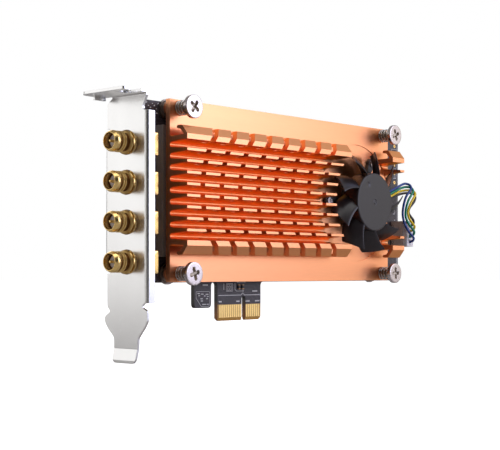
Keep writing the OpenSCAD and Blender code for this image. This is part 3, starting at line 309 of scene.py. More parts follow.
def withPaintedShade(material, color, rough):
    # the attribute blends the finish towards another colour and roughness, the painted shade
    tree = material.node_tree
    shader = tree.nodes["Principled BSDF"]
    attribute = tree.nodes.new("ShaderNodeAttribute")
    attribute.attribute_name = "paintedShade"
    for socket, kind, value in (("Base Color", "RGBA", (*color, 1)), ("Roughness", "FLOAT", rough)):
        blend = tree.nodes.new("ShaderNodeMix")
        blend.data_type = kind
        ends = [s for s in blend.inputs if s.name in ("A", "B") and s.enabled]
        tree.links.new(attribute.outputs["Fac"], blend.inputs["Factor"])
        tree.links.new(shader.inputs[socket].links[0].from_socket, ends[0])
        ends[1].default_value = value
        tree.links.new([s for s in blend.outputs if s.enabled][0], shader.inputs[socket])
    return material


def maskedBoard(settings):
    # solder mask over copper lines: a line shows where its wave is above lineFrom and its patch's random
    # channel above patchFrom; bare laminate on the edges and beside the contacts, where no mask covers it
    material, tree, shader = newMaterial("boardMask", settings["mask"], settings["rough"], 0)
    n, link = tree.nodes, tree.links.new
    coords = n.new("ShaderNodeTexCoord")
    cell = n.new("ShaderNodeTexVoronoi")
    cell.inputs["Scale"].default_value = settings["patchScale"]
    link(coords.outputs["Object"], cell.inputs["Vector"])
    pick = n.new("ShaderNodeSeparateColor")
    link(cell.outputs["Color"], pick.inputs["Color"])
    lines = None
    for direction, channel in (("X", "Red"), ("Z", "Green"), ("DIAGONAL", "Blue")):
        wave = n.new("ShaderNodeTexWave")
        wave.bands_direction = direction
        wave.inputs["Scale"].default_value = settings["lineScale"]
        link(coords.outputs["Object"], wave.inputs["Vector"])
        narrow = n.new("ShaderNodeMath")
        narrow.operation = "GREATER_THAN"
        narrow.inputs[1].default_value = settings["lineFrom"]
        link(wave.outputs["Fac"], narrow.inputs[0])
        shown = n.new("ShaderNodeMath")
        shown.operation = "GREATER_THAN"
        shown.inputs[1].default_value = settings["patchFrom"]
        link(pick.outputs[channel], shown.inputs[0])
        part = n.new("ShaderNodeMath")
        part.operation = "MULTIPLY"
        link(narrow.outputs[0], part.inputs[0])
        link(shown.outputs[0], part.inputs[1])
        if lines is None:
            lines = part.outputs[0]
        else:
            most = n.new("ShaderNodeMath")
            most.operation = "MAXIMUM"
            link(lines, most.inputs[0])
            link(part.outputs[0], most.inputs[1])
            lines = most.outputs[0]
    fine = addNoise(tree, 5000)
    slow = addNoise(tree, 90)
    mask = ramp(tree, slow.outputs["Fac"], settings["mask"], settings["maskLight"])
    traced = n.new("ShaderNodeMix")
    traced.data_type = "RGBA"
    traced.inputs["B"].default_value = (*settings["trace"], 1)
    link(lines, traced.inputs["Factor"])
    link(mask, traced.inputs["A"])
    # bare laminate where the surface faces sideways, and on the bevel under the contacts
    normal = n.new("ShaderNodeSeparateXYZ")
    link(coords.outputs["Normal"], normal.inputs["Vector"])
    facing = n.new("ShaderNodeMath")
    facing.operation = "ABSOLUTE"
    link(normal.outputs["Y"], facing.inputs[0])
    edge = n.new("ShaderNodeMath")
    edge.operation = "LESS_THAN"
    edge.inputs[1].default_value = settings["sideUnder"]
    link(facing.outputs[0], edge.inputs[0])
    height = n.new("ShaderNodeSeparateXYZ")
    link(coords.outputs["Object"], height.inputs["Vector"])
    # the amber of the bare laminate comes in over the last millimetres above the contacts
    amber = {}
    for key, low, high in (("face", settings["maskEnd"] - 0.05, settings["maskEnd"] + 0.05),
        ("edge", settings["maskEnd"] - 3.5, settings["maskEnd"] + 1.5)):
        fall = n.new("ShaderNodeMapRange")
        fall.inputs["From Min"].default_value, fall.inputs["From Max"].default_value = low * mm, high * mm
        fall.inputs["To Min"].default_value, fall.inputs["To Max"].default_value = 1, 0
        link(height.outputs["Z"], fall.inputs["Value"])
        right = n.new("ShaderNodeMath")
        right.operation = "GREATER_THAN"
        right.inputs[1].default_value = settings["amberFrom"] * mm
        link(height.outputs["X"], right.inputs[0])
        both = n.new("ShaderNodeMath")
        both.operation = "MULTIPLY"
        link(fall.outputs["Result"], both.inputs[0])
        link(right.outputs[0], both.inputs[1])
        amber[key] = both.outputs[0]

    def mixed(factor, a, b):
        # a * (1 - factor) + b * factor, where each end is a colour or a socket
        blend = n.new("ShaderNodeMix")
        blend.data_type = "RGBA"
        link(factor, blend.inputs["Factor"])
        for source, socket in ((a, blend.inputs["A"]), (b, blend.inputs["B"])):
            if isinstance(source, tuple):
                socket.default_value = (*source, 1)
            else:
                link(source, socket)
        return blend.outputs["Result"]

    front = mixed(amber["face"], traced.outputs["Result"], ramp(tree, fine.outputs["Fac"],
        settings["laminate"], settings["laminateLight"]))
    side = mixed(amber["edge"], ramp(tree, fine.outputs["Fac"], settings["edge"], settings["edgeLight"]),
        settings["edgeAmber"])
    link(mixed(edge.outputs[0], front, side), shader.inputs["Base Color"])
    link(spread(tree, fine.outputs["Fac"], settings["rough"] - 0.06, settings["rough"] + 0.1),
        shader.inputs["Roughness"])
    link(addBump(tree, lines, 0.5, 0.03, addBump(tree, fine.outputs["Fac"], 0.15, 0.01)),
        shader.inputs["Normal"])
    return material


# each: name, colour, roughness, metallic, grain, stretch, tone, uneven, bump, depth, patches, sockets
metal = {
    "copper": grainy("copperAnodised", (0.93, 0.405, 0.205), 0.35, 1.0, 5200, (0.04, 1, 1), 0.06, 0.06, 0.30,
        0.02, 160, {"Specular Tint": (1.0, 0.64, 0.10, 1)}),
    "bracket": grainy("bracketSteel", (0.80, 0.79, 0.78), 0.25, 1.0, 6500, (1, 1, 0.25), 0.06, 0.06, 0.25,
        0.012, 90),
    # the jacks' gold; the second colour and roughness are painted shade for the thread's valleys and the
    # flange's front
    "gold": withPaintedShade(grainy("jackGoldWithPaintedShade", (0.97, 0.66, 0.25), 0.25, 1.0, 3000, (1, 1, 1), 0.05, 0.05, 0.06, 0.006,
        200), (0.18, 0.075, 0.02), 0.5),
    "contact": grainy("contactGold", (0.98, 0.68, 0.26), 0.30, 1.0, 4000, (1, 1, 0.2), 0.06, 0.08, 0.12,
        0.006, 300),
    # the screws' nickel; the second colour and roughness are painted shade inside the cross recess
    "screw": withPaintedShade(grainy("screwNickelWithPaintedShade", (0.60, 0.53, 0.51), 0.27, 1.0, 4500, (1, 1, 1), 0.06, 0.06, 0.15,
        0.01, 300), (0.46, 0.39, 0.31), 0.5),
    "spring": grainy("springSteel", (0.50, 0.45, 0.42), 0.28, 1.0, 3500, (1, 1, 1), 0.12, 0.10, 0.2, 0.01,
        260),
    "standoff": grainy("standoffBrass", (0.30, 0.25, 0.22), 0.34, 1.0, 4200, (1, 0.2, 1), 0.12, 0.10, 0.2,
        0.01, 260),
    "can": grainy("shieldSteel", (0.56, 0.49, 0.45), 0.42, 0.8, 4200, (0.3, 1, 1), 0.12, 0.10, 0.2, 0.01, 90),
    "tin": grainy("tinnedEnds", (0.78, 0.76, 0.74), 0.34, 1.0, 3000, (1, 1, 1), 0.1, 0.1, 0.3, 0.02, 300),
    "endCopper": grainy("copperEnds", (0.52, 0.32, 0.17), 0.44, 1.0, 3000, (1, 1, 1), 0.1, 0.1, 0.3, 0.02,
        300),
    "steel": grainy("shaftSteel", (0.70, 0.70, 0.71), 0.24, 1.0, 3500, (1, 0.1, 1), 0.06, 0.06, 0.15, 0.01,
        200),
    "winding": grainy("windingCopper", (0.80, 0.36, 0.18), 0.30, 1.0, 2200, (1, 0.15, 1), 0.14, 0.08, 0.5,
        0.05, 200),
    "bronze": grainy("bearingBronze", (0.52, 0.34, 0.16), 0.50, 1.0, 5000, (1, 1, 1), 0.16, 0.12, 0.4, 0.02,
        200),
}
plain = {
    "board": maskedBoard({"mask": (0.034, 0.026, 0.031), "maskLight": (0.046, 0.036, 0.042),
        "trace": (0.054, 0.044, 0.050), "laminate": (0.48, 0.235, 0.036), "laminateLight": (0.58, 0.30,
        0.055), "edge": (0.014, 0.010, 0.011), "edgeLight": (0.030, 0.021, 0.020),
        "edgeAmber": (0.34, 0.12, 0.014), "maskEnd": 5.35, "amberFrom": -14.3, "rough": 0.38,
        "patchScale": 95, "lineScale": 260, "lineFrom": 0.72, "patchFrom": 0.62, "sideUnder": 0.6}),
    "silk": grainy("silkInk", (0.74, 0.73, 0.72), 0.62, 0, 6000, tone=0.1, bump=0.3, depth=0.01),
    "insulator": grainy("jackInsulator", (0.80, 0.70, 0.70), 0.46, 0, 2600, tone=0.05, bump=0.1,
        sockets={"Subsurface Weight": 0.15}),
    "fan": grainy("fanPlastic", (0.019, 0.014, 0.015), 0.31, 0, 4200, tone=0.10, uneven=0.04, bump=0.12,
        depth=0.01, sockets={"Specular IOR Level": 0.42}),
    "fanDark": grainy("fanFramePlastic", (0.022, 0.019, 0.021), 0.46, 0, 3800, tone=0.14, uneven=0.06,
        bump=0.3, depth=0.02),
    # the header is the plug's white plastic; its darker, browner colour is painted shade for its shaded side
    "header": grainy("headerPlastic", (0.66, 0.54, 0.48), 0.44, 0, 2600, tone=0.05, bump=0.15, depth=0.01),
    "plug": grainy("plugPlastic", (0.86, 0.79, 0.79), 0.42, 0, 2600, tone=0.05, bump=0.15, depth=0.01,
        sockets={"Subsurface Weight": 0.1}),
    "chip": grainy("chipMould", (0.030, 0.029, 0.031), 0.55, 0, 5200, tone=0.14, bump=0.4, depth=0.02),
    "coil": grainy("coilFerrite", (0.085, 0.083, 0.085), 0.60, 0, 3600, tone=0.16, bump=0.5, depth=0.03),
    "pad": grainy("thermalPad", (0.16, 0.17, 0.20), 0.72, 0, 2400, tone=0.12, bump=0.5, depth=0.05,
        sockets={"Sheen Weight": 0.2}),
    "partDark": grainy("partCeramicDark", (0.028, 0.024, 0.024), 0.40, 0, 4200, tone=0.12, bump=0.2,
        depth=0.01),
    "partTan": grainy("partCeramicTan", (0.30, 0.19, 0.11), 0.46, 0, 4200, tone=0.12, bump=0.2, depth=0.01),
    "fanBoard": grainy("fanBoardMask", (0.018, 0.10, 0.055), 0.40, 0, 3000, tone=0.12, bump=0.2, depth=0.01),
    "magnet": grainy("magnetFerrite", (0.05, 0.048, 0.05), 0.62, 0, 3600, tone=0.14, bump=0.4, depth=0.03),
    "retainer": grainy("retainerNylon", (0.74, 0.73, 0.68), 0.44, 0, 2600, tone=0.05, bump=0.1),
    "blue": grainy("wireBlue", (0.008, 0.042, 0.24), 0.30, 0, 2200, tone=0.12, bump=0.15, depth=0.01),
    "green": grainy("wireGreen", (0.0, 0.24, 0.13), 0.30, 0, 2200, tone=0.12, bump=0.15, depth=0.01),
    "yellow": grainy("wireYellow", (0.82, 0.55, 0.010), 0.32, 0, 2200, tone=0.10, bump=0.15, depth=0.01),
    "black": grainy("wireBlack", (0.030, 0.024, 0.026), 0.36, 0, 2200, tone=0.14, bump=0.15, depth=0.01),
    # painted shade for the two small holes on the header's side
    "dark": grainy("holeShadeDark", (0.012, 0.010, 0.010), 0.7, 0, 2200, tone=0.2, bump=0.2),
    "padCopper": grainy("padCopper", (0.55, 0.24, 0.03), 0.40, 0.6, 2600, tone=0.1, bump=0.2, depth=0.01),
}
print("finishes ready:", len(metal) + len(plain))

# camera and light, first

camera = {"at": (-304.986, -275.715, 16.33), "turn": -48.269, "lens": 88.744, "shiftY": 0.092, "sensor": 36}
eye = bpy.data.objects.new("photoCamera", bpy.data.cameras.new("photoCamera"))
bpy.context.scene.collection.objects.link(eye)
eye.location = [c * mm for c in camera["at"]]
eye.rotation_euler = (math.radians(90), 0, math.radians(camera["turn"]))
eye.data.sensor_width = camera["sensor"]
eye.data.lens = camera["lens"]
eye.data.shift_y = camera["shiftY"]
eye.data.clip_start = 0.01
bpy.context.scene.camera = eye

panels = {  # position and target in mm, size in mm, strength in watts, colour
    "plateMirror": ((250, -430, 190), (10, 0, 45), (360, 360), 1.05, (0.96, 1.0, 1.30)),
    "plateSide": ((520, -270, 90), (40, 0, 40), (260, 300), 0.20, (1.0, 0.95, 0.9)),
    "bracketMirror": ((-430, 330, 80), (-57, -5, 30), (340, 420), 0.42, (1.0, 1.0, 1.0)),
    "frontLeft": ((-430, -250, 480), (-30, 0, 30), (260, 260), 0.30, (1.0, 1.0, 1.0)),
    "top": ((-20, -160, 460), (0, 0, 30), (520, 260), 0.7, (1.0, 1.0, 1.0)),
    "jackFront": ((-560, -60, 60), (-57, -5, 36), (200, 200), 0.14, (1.0, 0.97, 0.92)),
    "upperRight": ((430, -40, 400), (0, 0, 40), (260, 260), 0.085, (0.80, 1.0, 1.9)),
    "rear": ((160, 480, 260), (0, 0, 30), (500, 400), 0.8, (1.0, 1.0, 1.0)),
}
for name, (at, target, size, power, color) in panels.items():
    light = bpy.data.lights.new(name, "AREA")
    light.shape = "RECTANGLE"
    light.size, light.size_y = size[0] * mm, size[1] * mm
    light.energy = power
    light.color = color
    lamp = bpy.data.objects.new(name, light)
    lamp.location = [c * mm for c in at]
    lamp.rotation_euler = Vector([t - a for t, a in zip(target, at)]).to_track_quat("-Z", "Y").to_euler()
    bpy.context.scene.collection.objects.link(lamp)

room = {"walls": 0.32, "corner": 0.02, "darkTowards": (-0.70, -0.71, 0.0), "darkFrom": 0.45, "darkTo": 0.85}
world = bpy.data.worlds.new("studioWorld")
world.use_nodes = True
world.node_tree.nodes["Background"].inputs["Color"].default_value = (1.0, 1.0, 1.0, 1)
tree = world.node_tree
rays = tree.nodes.new("ShaderNodeLightPath")
# seen from the camera the studio is white; the metals see grey walls with a dark corner behind the camera
around = tree.nodes.new("ShaderNodeTexCoord")
corner = tree.nodes.new("ShaderNodeVectorMath")
corner.operation = "DOT_PRODUCT"
corner.inputs[1].default_value = room["darkTowards"]
tree.links.new(around.outputs["Generated"], corner.inputs[0])
walls = tree.nodes.new("ShaderNodeMapRange")
walls.interpolation_type = "SMOOTHSTEP"
walls.inputs["From Min"].default_value, walls.inputs["From Max"].default_value = room["darkFrom"], room["darkTo"]
walls.inputs["To Min"].default_value, walls.inputs["To Max"].default_value = room["walls"], room["corner"]
tree.links.new(corner.outputs["Value"], walls.inputs["Value"])
level = tree.nodes.new("ShaderNodeMix")
level.inputs["B"].default_value = 1.0
tree.links.new(rays.outputs["Is Camera Ray"], level.inputs["Factor"])
tree.links.new(walls.outputs["Result"], level.inputs["A"])
tree.links.new(level.outputs["Result"], tree.nodes["Background"].inputs["Strength"])
bpy.context.scene.world = world
bpy.context.scene.view_settings.view_transform = "Standard"

floorPlan = {"level": -11.0, "half": 2600, "glow": 0.85, "reflected": (0.44, 0.42, 0.41)}
s, z = floorPlan["half"], floorPlan["level"]
floorMesh = bpy.data.meshes.new("paleFloor")
square = [(s * i * mm, s * j * mm, z * mm) for i, j in ((-1, -1), (1, -1), (1, 1), (-1, 1))]
floorMesh.from_pydata(square, [], [(0, 1, 2, 3)])
paint = grainy("floorPaint", (0.93, 0.93, 0.93), 0.6, 0, 40, tone=0.01, bump=0.02, depth=0.01,
    sockets={"Emission Color": (1, 1, 1, 1)})
# seen from the camera the floor glows white; in the metals it is a dull grey
tree = paint.node_tree
shader = tree.nodes["Principled BSDF"]
rays = tree.nodes.new("ShaderNodeLightPath")
amount = tree.nodes.new("ShaderNodeMapRange")
amount.inputs["To Min"].default_value, amount.inputs["To Max"].default_value = 0.0, floorPlan["glow"]
tree.links.new(rays.outputs["Is Camera Ray"], amount.inputs["Value"])
tree.links.new(amount.outputs["Result"], shader.inputs["Emission Strength"])
dull = tree.nodes.new("ShaderNodeMix")
dull.data_type = "RGBA"
dull.inputs["A"].default_value = (*floorPlan["reflected"], 1)
tree.links.new(rays.outputs["Is Camera Ray"], dull.inputs["Factor"])
tree.links.new(shader.inputs["Base Color"].links[0].from_socket, dull.inputs["B"])
tree.links.new(dull.outputs["Result"], shader.inputs["Base Color"])
floorMesh.materials.append(paint)
floor = bpy.data.objects.new("paleFloor", floorMesh)
bpy.context.scene.collection.objects.link(floor)
print("camera, lights and floor ready")

# antenna jacks

jackPlan = {"flange": 3.6, "flangeOut": 1.1, "neck": 2.75, "thread": 3.175, "threadFrom": 2.0,
    "threadTo": 4.75, "pitch": 0.8, "collarFrom": 4.9, "length": 6.9, "chamfer": 0.92, "mouth": 2.66,
    "bore": 2.32, "boreDepth": 2.05, "insulator": 2.0, "pin": 0.44, "bodyLength": 9.0, "bodyWidth": 6.9,
    "bodyFrom": 0.86, "inside": -1.9, "legHalf": 0.5, "shadeFall": 0.42, "shadeFrom": 1.15, "shadeTo": 4.92,
    "flangeShade": 0.5, "flangeShadeR": (2.8, 3.57), "flangeShadeFrom": 0.75}


def jackBarrel(plan):
    # a closed profile turned round the axis: flange, neck, core of the thread, collar, chamfered mouth and bore
    p = plan
    end, bottom = p["length"], p["length"] - p["boreDepth"]
    rows = [(p["inside"], p["flange"] - 0.5), (0.1, p["flange"] - 0.5), (0.45, p["flange"] - 0.04),
        (0.5, p["flange"]), (0.72, p["flange"]), (0.78, p["flange"] - 0.04),
        (p["flangeOut"] - 0.04, p["flange"] - 0.42), (p["flangeOut"], p["flange"] - 0.5)]
    rows += [(p["flangeOut"], p["neck"] + 0.08), (p["flangeOut"] + 0.08, p["neck"]),
        (p["collarFrom"] - 0.02, p["neck"]), (p["collarFrom"], p["neck"] + 0.03)]
    rows += [(p["collarFrom"], p["thread"] - 0.08), (p["collarFrom"] + 0.02, p["thread"] - 0.02),
        (p["collarFrom"] + 0.1, p["thread"]), (end - p["chamfer"] - 0.06, p["thread"]),
        (end - p["chamfer"] + 0.03, p["thread"] - 0.03)]
    rows += [(end - 0.06, p["mouth"] + 0.04), (end - 0.01, p["mouth"] - 0.02), (end, p["mouth"] - 0.07),
        (end, p["mouth"] - 0.16), (end - 0.04, p["mouth"] - 0.22)]
    rows += [(end - 0.5, p["bore"] + 0.03), (end - 0.6, p["bore"]), (bottom, p["bore"]),
        (bottom, p["insulator"]), (p["inside"], p["insulator"])]
    return revolved(rows, 72)


def threadRidge(plan):
    # a six-sided profile carried along a helix: at angle a it lies at pitch * a / (2 pi), and it grows out of
    # the core and sinks back into it over the first and last quarter of a turn
    turns = (plan["threadTo"] - plan["threadFrom"]) / plan["pitch"] - 0.9
    a = np.linspace(0, 2 * np.pi * turns, int(48 * turns))
    grow = np.clip(np.minimum(a, a[-1] - a) / (np.pi / 2), 0.02, 1)[:, None]
    half, base, top = plan["pitch"] * 0.47, plan["neck"] - 0.04, plan["thread"]
    along = np.array([-1, -0.2, 0.2, 1, 0.8, -0.8]) * half
    out = np.array([0, 1, 1, 0, -0.4, -0.4])
    r = base + (top - base) * out * np.where(out > 0, grow, 1.0)
    middle = plan["threadFrom"] + plan["pitch"] * (0.45 + a[:, None] / (2 * np.pi))
    z = middle + along * np.where(np.abs(along) > 0.2, 0.3 + 0.7 * grow, grow)
    grid = np.stack([r * np.cos(a)[:, None], r * np.sin(a)[:, None], z], -1)
    ends = np.repeat(grid[[0, -1]].mean(1)[:, None], 6, 1)
    return np.concatenate([ends[:1], grid, ends[1:]])


for i, z in enumerate(place["jackZ"]):
    x0 = place["face"] + jackPlan["bodyFrom"]
    w = jackPlan["bodyWidth"] / 2
    barrel, ridge = jackBarrel(jackPlan), threadRidge(jackPlan)
    shells = [shell(outX(barrel, place["face"], place["jackY"], z), closeU=True, closeV=True),
        shell(outX(ridge, place["face"], place["jackY"], z), closeV=True)]
    shells.append(roundedBlock((x0, x0 + jackPlan["bodyLength"]),
        (place["jackY"] - w, place["front"] - 0.005), (z - w, z + w), 0.35, 0.2))
    for sx in (-place["legOff"], place["legOff"]):
        for sz in (-place["legOff"], place["legOff"]):
            x1, z1, h = place["legX"] + sx, z + sz, jackPlan["legHalf"]
            shells.append(roundedBlock((x1 - h, x1 + h), (-1.6, 1.985), (z1 - h, z1 + h), 0.12, 0.2))
    # painted shade darkens the thread's core and the ridge's flanks, by their depth below the crest, and the
    # flange's front
    p = jackPlan
    away, out = np.hypot(barrel[..., 0], barrel[..., 1]), barrel[..., 2]
    deep = np.clip((p["thread"] - away) / p["shadeFall"], 0, 1)
    deep = deep * (out > p["shadeFrom"]) * (out < p["shadeTo"])
    onFlange = (away > p["flangeShadeR"][0]) * (away < p["flangeShadeR"][1])
    onFlange = onFlange * (out > p["flangeShadeFrom"]) * (out < p["shadeFrom"])
    crest = np.clip((p["thread"] - np.hypot(ridge[..., 0], ridge[..., 1])) / p["shadeFall"], 0, 1)
    paintedShade = [np.maximum(deep, p["flangeShade"] * onFlange).ravel(), crest.ravel()]
    paintedShade += [np.zeros(len(points)) for points, faces in shells[2:]]
    addPiece(f"jackShell{i + 1}", shells, metal["gold"], replaces=[f"antenna_jack_{i + 1}"], sharp=34,
        paintedShade=np.concatenate(paintedShade))

# insulators with a shallow dish in front, and the round tips of the pins
dish = [(-4.4, 0), (-4.4, 1.9), (-4.3, 2.0), (4.72, 2.0), (4.8, 1.92), (4.8, 1.0), (4.62, 0.8), (4.6, 0)]
tip = [(4.4, 0), (4.4, jackPlan["pin"]), (6.42, jackPlan["pin"]), (6.6, jackPlan["pin"] * 0.8),
    (6.68, jackPlan["pin"] * 0.35), (6.68, 0)]
addPiece("insulatorDiscs", [shell(outX(revolved(dish, 40), place["face"], place["jackY"], z), closeV=True)
    for z in place["jackZ"]], plain["insulator"], replaces=["jack_insulators"], sharp=40)
addPiece("pinTips", [shell(outX(revolved(tip, 24), place["face"], place["jackY"], z), closeV=True)
    for z in place["jackZ"]], metal["contact"], sharp=40)
print("jacks ready")

# heatsink and bracket: the CAD forms with soft edges

softened("heatsinkFins", "heatsink", metal["copper"], 0.1)
softened("slotBracket", "bracket", metal["bracket"], 0.12, sharp=14)
print("heatsink and bracket ready")

# screws and springs

screwPlan = {"headR": 3.6, "rim": 1.3, "cone": 0.5, "coneR": 2.4, "shankR": 1.5, "length": 14.0,
    "rings": [2.9, 3.3, 3.45, 3.55], "recessWall": 0.16, "shadeFall": 0.35, "shadeR": 2.45,
    "recessDepth": 1.0, "recessLength": 4.2, "recessWidth": 1.15, "turns": [16, 54, 3, 21]}


def screwHead(plan, turn):
    # rings from the middle of the head outwards, then down the side, the cone and the shank;
    # near the middle the surface sinks inside a cross whose arms widen towards their ends, by recessDepth
    # times a smooth step of how far inside it a point lies
    inner = np.linspace(0, 2.5, 26)
    head, cone, shank = plan["headR"], plan["coneR"], plan["shankR"]
    r = np.concatenate([inner, plan["rings"], [head, head, cone, shank, shank, 0]])
    under = plan["rim"] + plan["cone"]
    side = [0.015, 0.06, 0.14, plan["rim"], under, under, plan["length"], plan["length"]]
    down = np.concatenate([np.zeros(len(inner) + 2), side])
    a = np.linspace(0, 2 * np.pi, 96, endpoint=False)
    x, y = r[:, None] * np.cos(a), r[:, None] * np.sin(a)
    t = math.radians(turn)
    u, v = np.abs(x * math.cos(t) + y * math.sin(t)), np.abs(y * math.cos(t) - x * math.sin(t))
    arm = plan["recessLength"] / 2 - plan["recessWidth"] / 2
    far = np.maximum(u, v)
    half = plan["recessWidth"] / 2 * (0.92 + 0.2 * np.clip(far / arm, 0, 1) + 0.5 * np.clip(0.75 - far, 0, 1))
    gap = np.minimum(np.hypot(np.maximum(u - arm, 0), v), np.hypot(np.maximum(v - arm, 0), u)) - half
    wall = np.clip(-gap / plan["recessWall"], 0, 1)
    sink = plan["recessDepth"] * wall * wall * (3 - 2 * wall) * (1 - 0.25 * np.clip(r[:, None] / 2, 0, 1))
    sink[len(inner):] = 0
    return np.stack([x, y, -(down[:, None] + sink)], -1)


springPlan = {"outer": 2.4, "wire": 0.54, "turns": 4.5, "low": place["plate"], "high": -11.485,
    "flatTurns": 0.75, "flatRise": 0.05}


def springPath(plan):
    # a helix: over its flat turns at each end it rises by flatRise of the height, and evenly between them
    turns, flat, rise = plan["turns"], plan["flatTurns"], plan["flatRise"]
    s = np.linspace(0, turns, int(turns * 30))
    k = np.clip((s - flat) / (turns - 2 * flat), 0, 1) * (1 - 2 * rise)
    k = k + rise * np.clip(s / flat, 0, 1) + rise * np.clip((s - turns + flat) / flat, 0, 1)
    r = plan["outer"] - plan["wire"] / 2
    low, high = plan["low"] - plan["wire"] / 2, plan["high"] + plan["wire"] / 2
    return np.stack([r * np.cos(2 * np.pi * s), low + (high - low) * k, r * np.sin(2 * np.pi * s)], -1)


corners = [(x, z) for x in place["screwX"] for z in place["screwZ"]]
heads = [screwHead(screwPlan, turn) for turn in screwPlan["turns"]]
shells = [shell(outY(head, x, place["headFront"], z), closeV=True) for head, (x, z) in zip(heads, corners)]
# painted shade darkens the recess by its depth
paintedShade = []
for head in heads:
    inside = np.hypot(head[..., 0], head[..., 1]) < screwPlan["shadeR"]
    paintedShade.append((np.clip(-head[..., 2] / screwPlan["shadeFall"], 0, 1) * inside).ravel())
addPiece("heatsinkScrewSet", shells, metal["screw"], replaces=["heatsink_screws"], sharp=32,
    paintedShade=np.concatenate(paintedShade))
addPiece("screwSpringSet", [tube(springPath(springPlan) + np.array([x, 0, z]), springPlan["wire"] / 2, 10)
    for x, z in corners], metal["spring"], replaces=["screw_springs"], sharp=60)
print("screws and springs ready")

# fan rotor

rotorPlan = {"hub": 10.4, "wall": 0.5, "front": 1.0, "edge": 0.45, "bladeR": 17.95, "blades": 9, "thick": 0.7,
    "start": 10.3, "sweep": 17, "chordTip": 18.5, "chordHub": 27, "bow": 0.16, "fullness": 2.2,
    "frontGap": 0.12, "rearGap": 0.14, "skirt": 6.5, "bossR": 1.5, "bossTo": 1.9, "bore": 0.75, "boreTo": 0.6,
    "ring": (0.12, 0.75, 0.14), "dimple": (0.10, 0.28), "mark": (7.27, 123), "markEdge": (0.15, 0.85, 0.06)}


def hubShell(plan):
    # the cap's outline from its middle, round the front edge, down the wall and back inside; in front the
    # ring falls by depth * exp(-((away - radius) / width) squared), the dimple likewise round the middle,
    # and the gate mark by depth / (1 + exp((away - radius) / width))
    e = np.linspace(0, np.pi / 2, 7)
    h, r = plan["edge"], plan["hub"]
    rows = [(0, k) for k in np.linspace(0, r - h, 64)]
    rows += [(-h * (1 - math.cos(k)), r - h * (1 - math.sin(k))) for k in e[1:]]
    skirt, wall = -plan["skirt"], r - plan["wall"]
    rows += [(skirt + 0.08, r), (skirt, r - 0.08), (skirt, wall), (-plan["front"], wall)]
    rows += [(-plan["front"], plan["bossR"]), (-plan["bossTo"], plan["bossR"])]
    rows += [(-plan["bossTo"], plan["bore"]), (-plan["boreTo"], plan["bore"]), (-plan["boreTo"], 0)]
    grid = revolved(rows, 120)
    x, y = grid[:64, :, 0], grid[:64, :, 1]
    away = np.hypot(x, y)
    depth, radius, width = plan["ring"]
    ringFall = depth * np.exp(-((away - radius) / width) ** 2)
    ringFall = ringFall + plan["dimple"][0] * np.exp(-(away / plan["dimple"][1]) ** 2)
    at, angle = plan["mark"][0], math.radians(plan["mark"][1])
    away = np.hypot(x - at * math.cos(angle), y - at * math.sin(angle))
    depth, radius, width = plan["markEdge"]
    markFall = depth / (1 + np.exp((away - radius) / width))
    grid[:64, :, 2] -= ringFall + markFall
    return grid


def bladeShell(plan, turn):
    # across: from inside the hub's wall to the tip; around: front edge, one face, rear edge, the other face.
    # The blade leans back evenly towards the hub, and near its edges its thickness follows the square
    # root of 1 - (2v - 1) squared
    u = np.linspace(0, 1, 14)[:, None]
    t = np.linspace(0, 2 * np.pi, 40, endpoint=False)[None, :]
    v = (1 - np.cos(t)) / 2
    r0 = plan["hub"] - plan["wall"] / 2
    r = r0 + (plan["bladeR"] - r0) * u + 0 * v
    lean = -plan["sweep"] * (1 - u)
    chord = plan["chordHub"] + (plan["chordTip"] - plan["chordHub"]) * u
    body = np.minimum(1, np.sqrt(np.maximum(0, 1 - (2 * v - 1) ** 2)) * plan["fullness"])
    a = lean - chord * v - plan["bow"] * chord * np.sin(np.pi * v)
    a = np.radians(a + turn) + np.sign(np.sin(t)) * body * plan["thick"] / 2 / r
    front, rear = place["hubFront"] + plan["frontGap"], place["rotorBack"] - plan["rearGap"]
    y = front + (rear - front) * v + 0 * u
    grid = np.stack([place["fanX"] + r * np.cos(a), y, place["fanZ"] + r * np.sin(a)], -1)
    ends = np.repeat(grid[[0, -1]].mean(1)[:, None], grid.shape[1], 1)
    return shell(np.concatenate([ends[:1], grid, ends[1:]]), closeV=True)


shells = [shell(outY(hubShell(rotorPlan), place["fanX"], place["hubFront"], place["fanZ"]), closeV=True)]
shells += [bladeShell(rotorPlan, rotorPlan["start"] + 360 * k / rotorPlan["blades"])
    for k in range(rotorPlan["blades"])]
addPiece("fanRotorCap", shells, plain["fan"], "rotor", ["fan_rotor"], 42)
print("fan rotor ready")

# header and plug with soft edges

softened("fanHeaderShell", "fan_header", plain["header"], 0.1)
plug = softened("fanPlugShell", "fan_plug", plain["plug"], 0.15)

# two dark discs low on the header's side, painted shade standing in for two small round holes
recess = {"y": -1.4, "z": (27.4, 33.6), "radius": 0.5, "side": 84.75}
r = recess["radius"]
spot = [(-0.04, 0), (-0.04, r), (0.012, r), (0.012, r * 0.8), (-0.02, r * 0.7), (-0.02, 0)]
spots = [shell(outX(revolved(spot, 24), recess["side"], recess["y"], z), closeV=True) for z in recess["z"]]
addPiece("headerHoleShades", spots, plain["dark"])

# wires, each along its route in the part's source

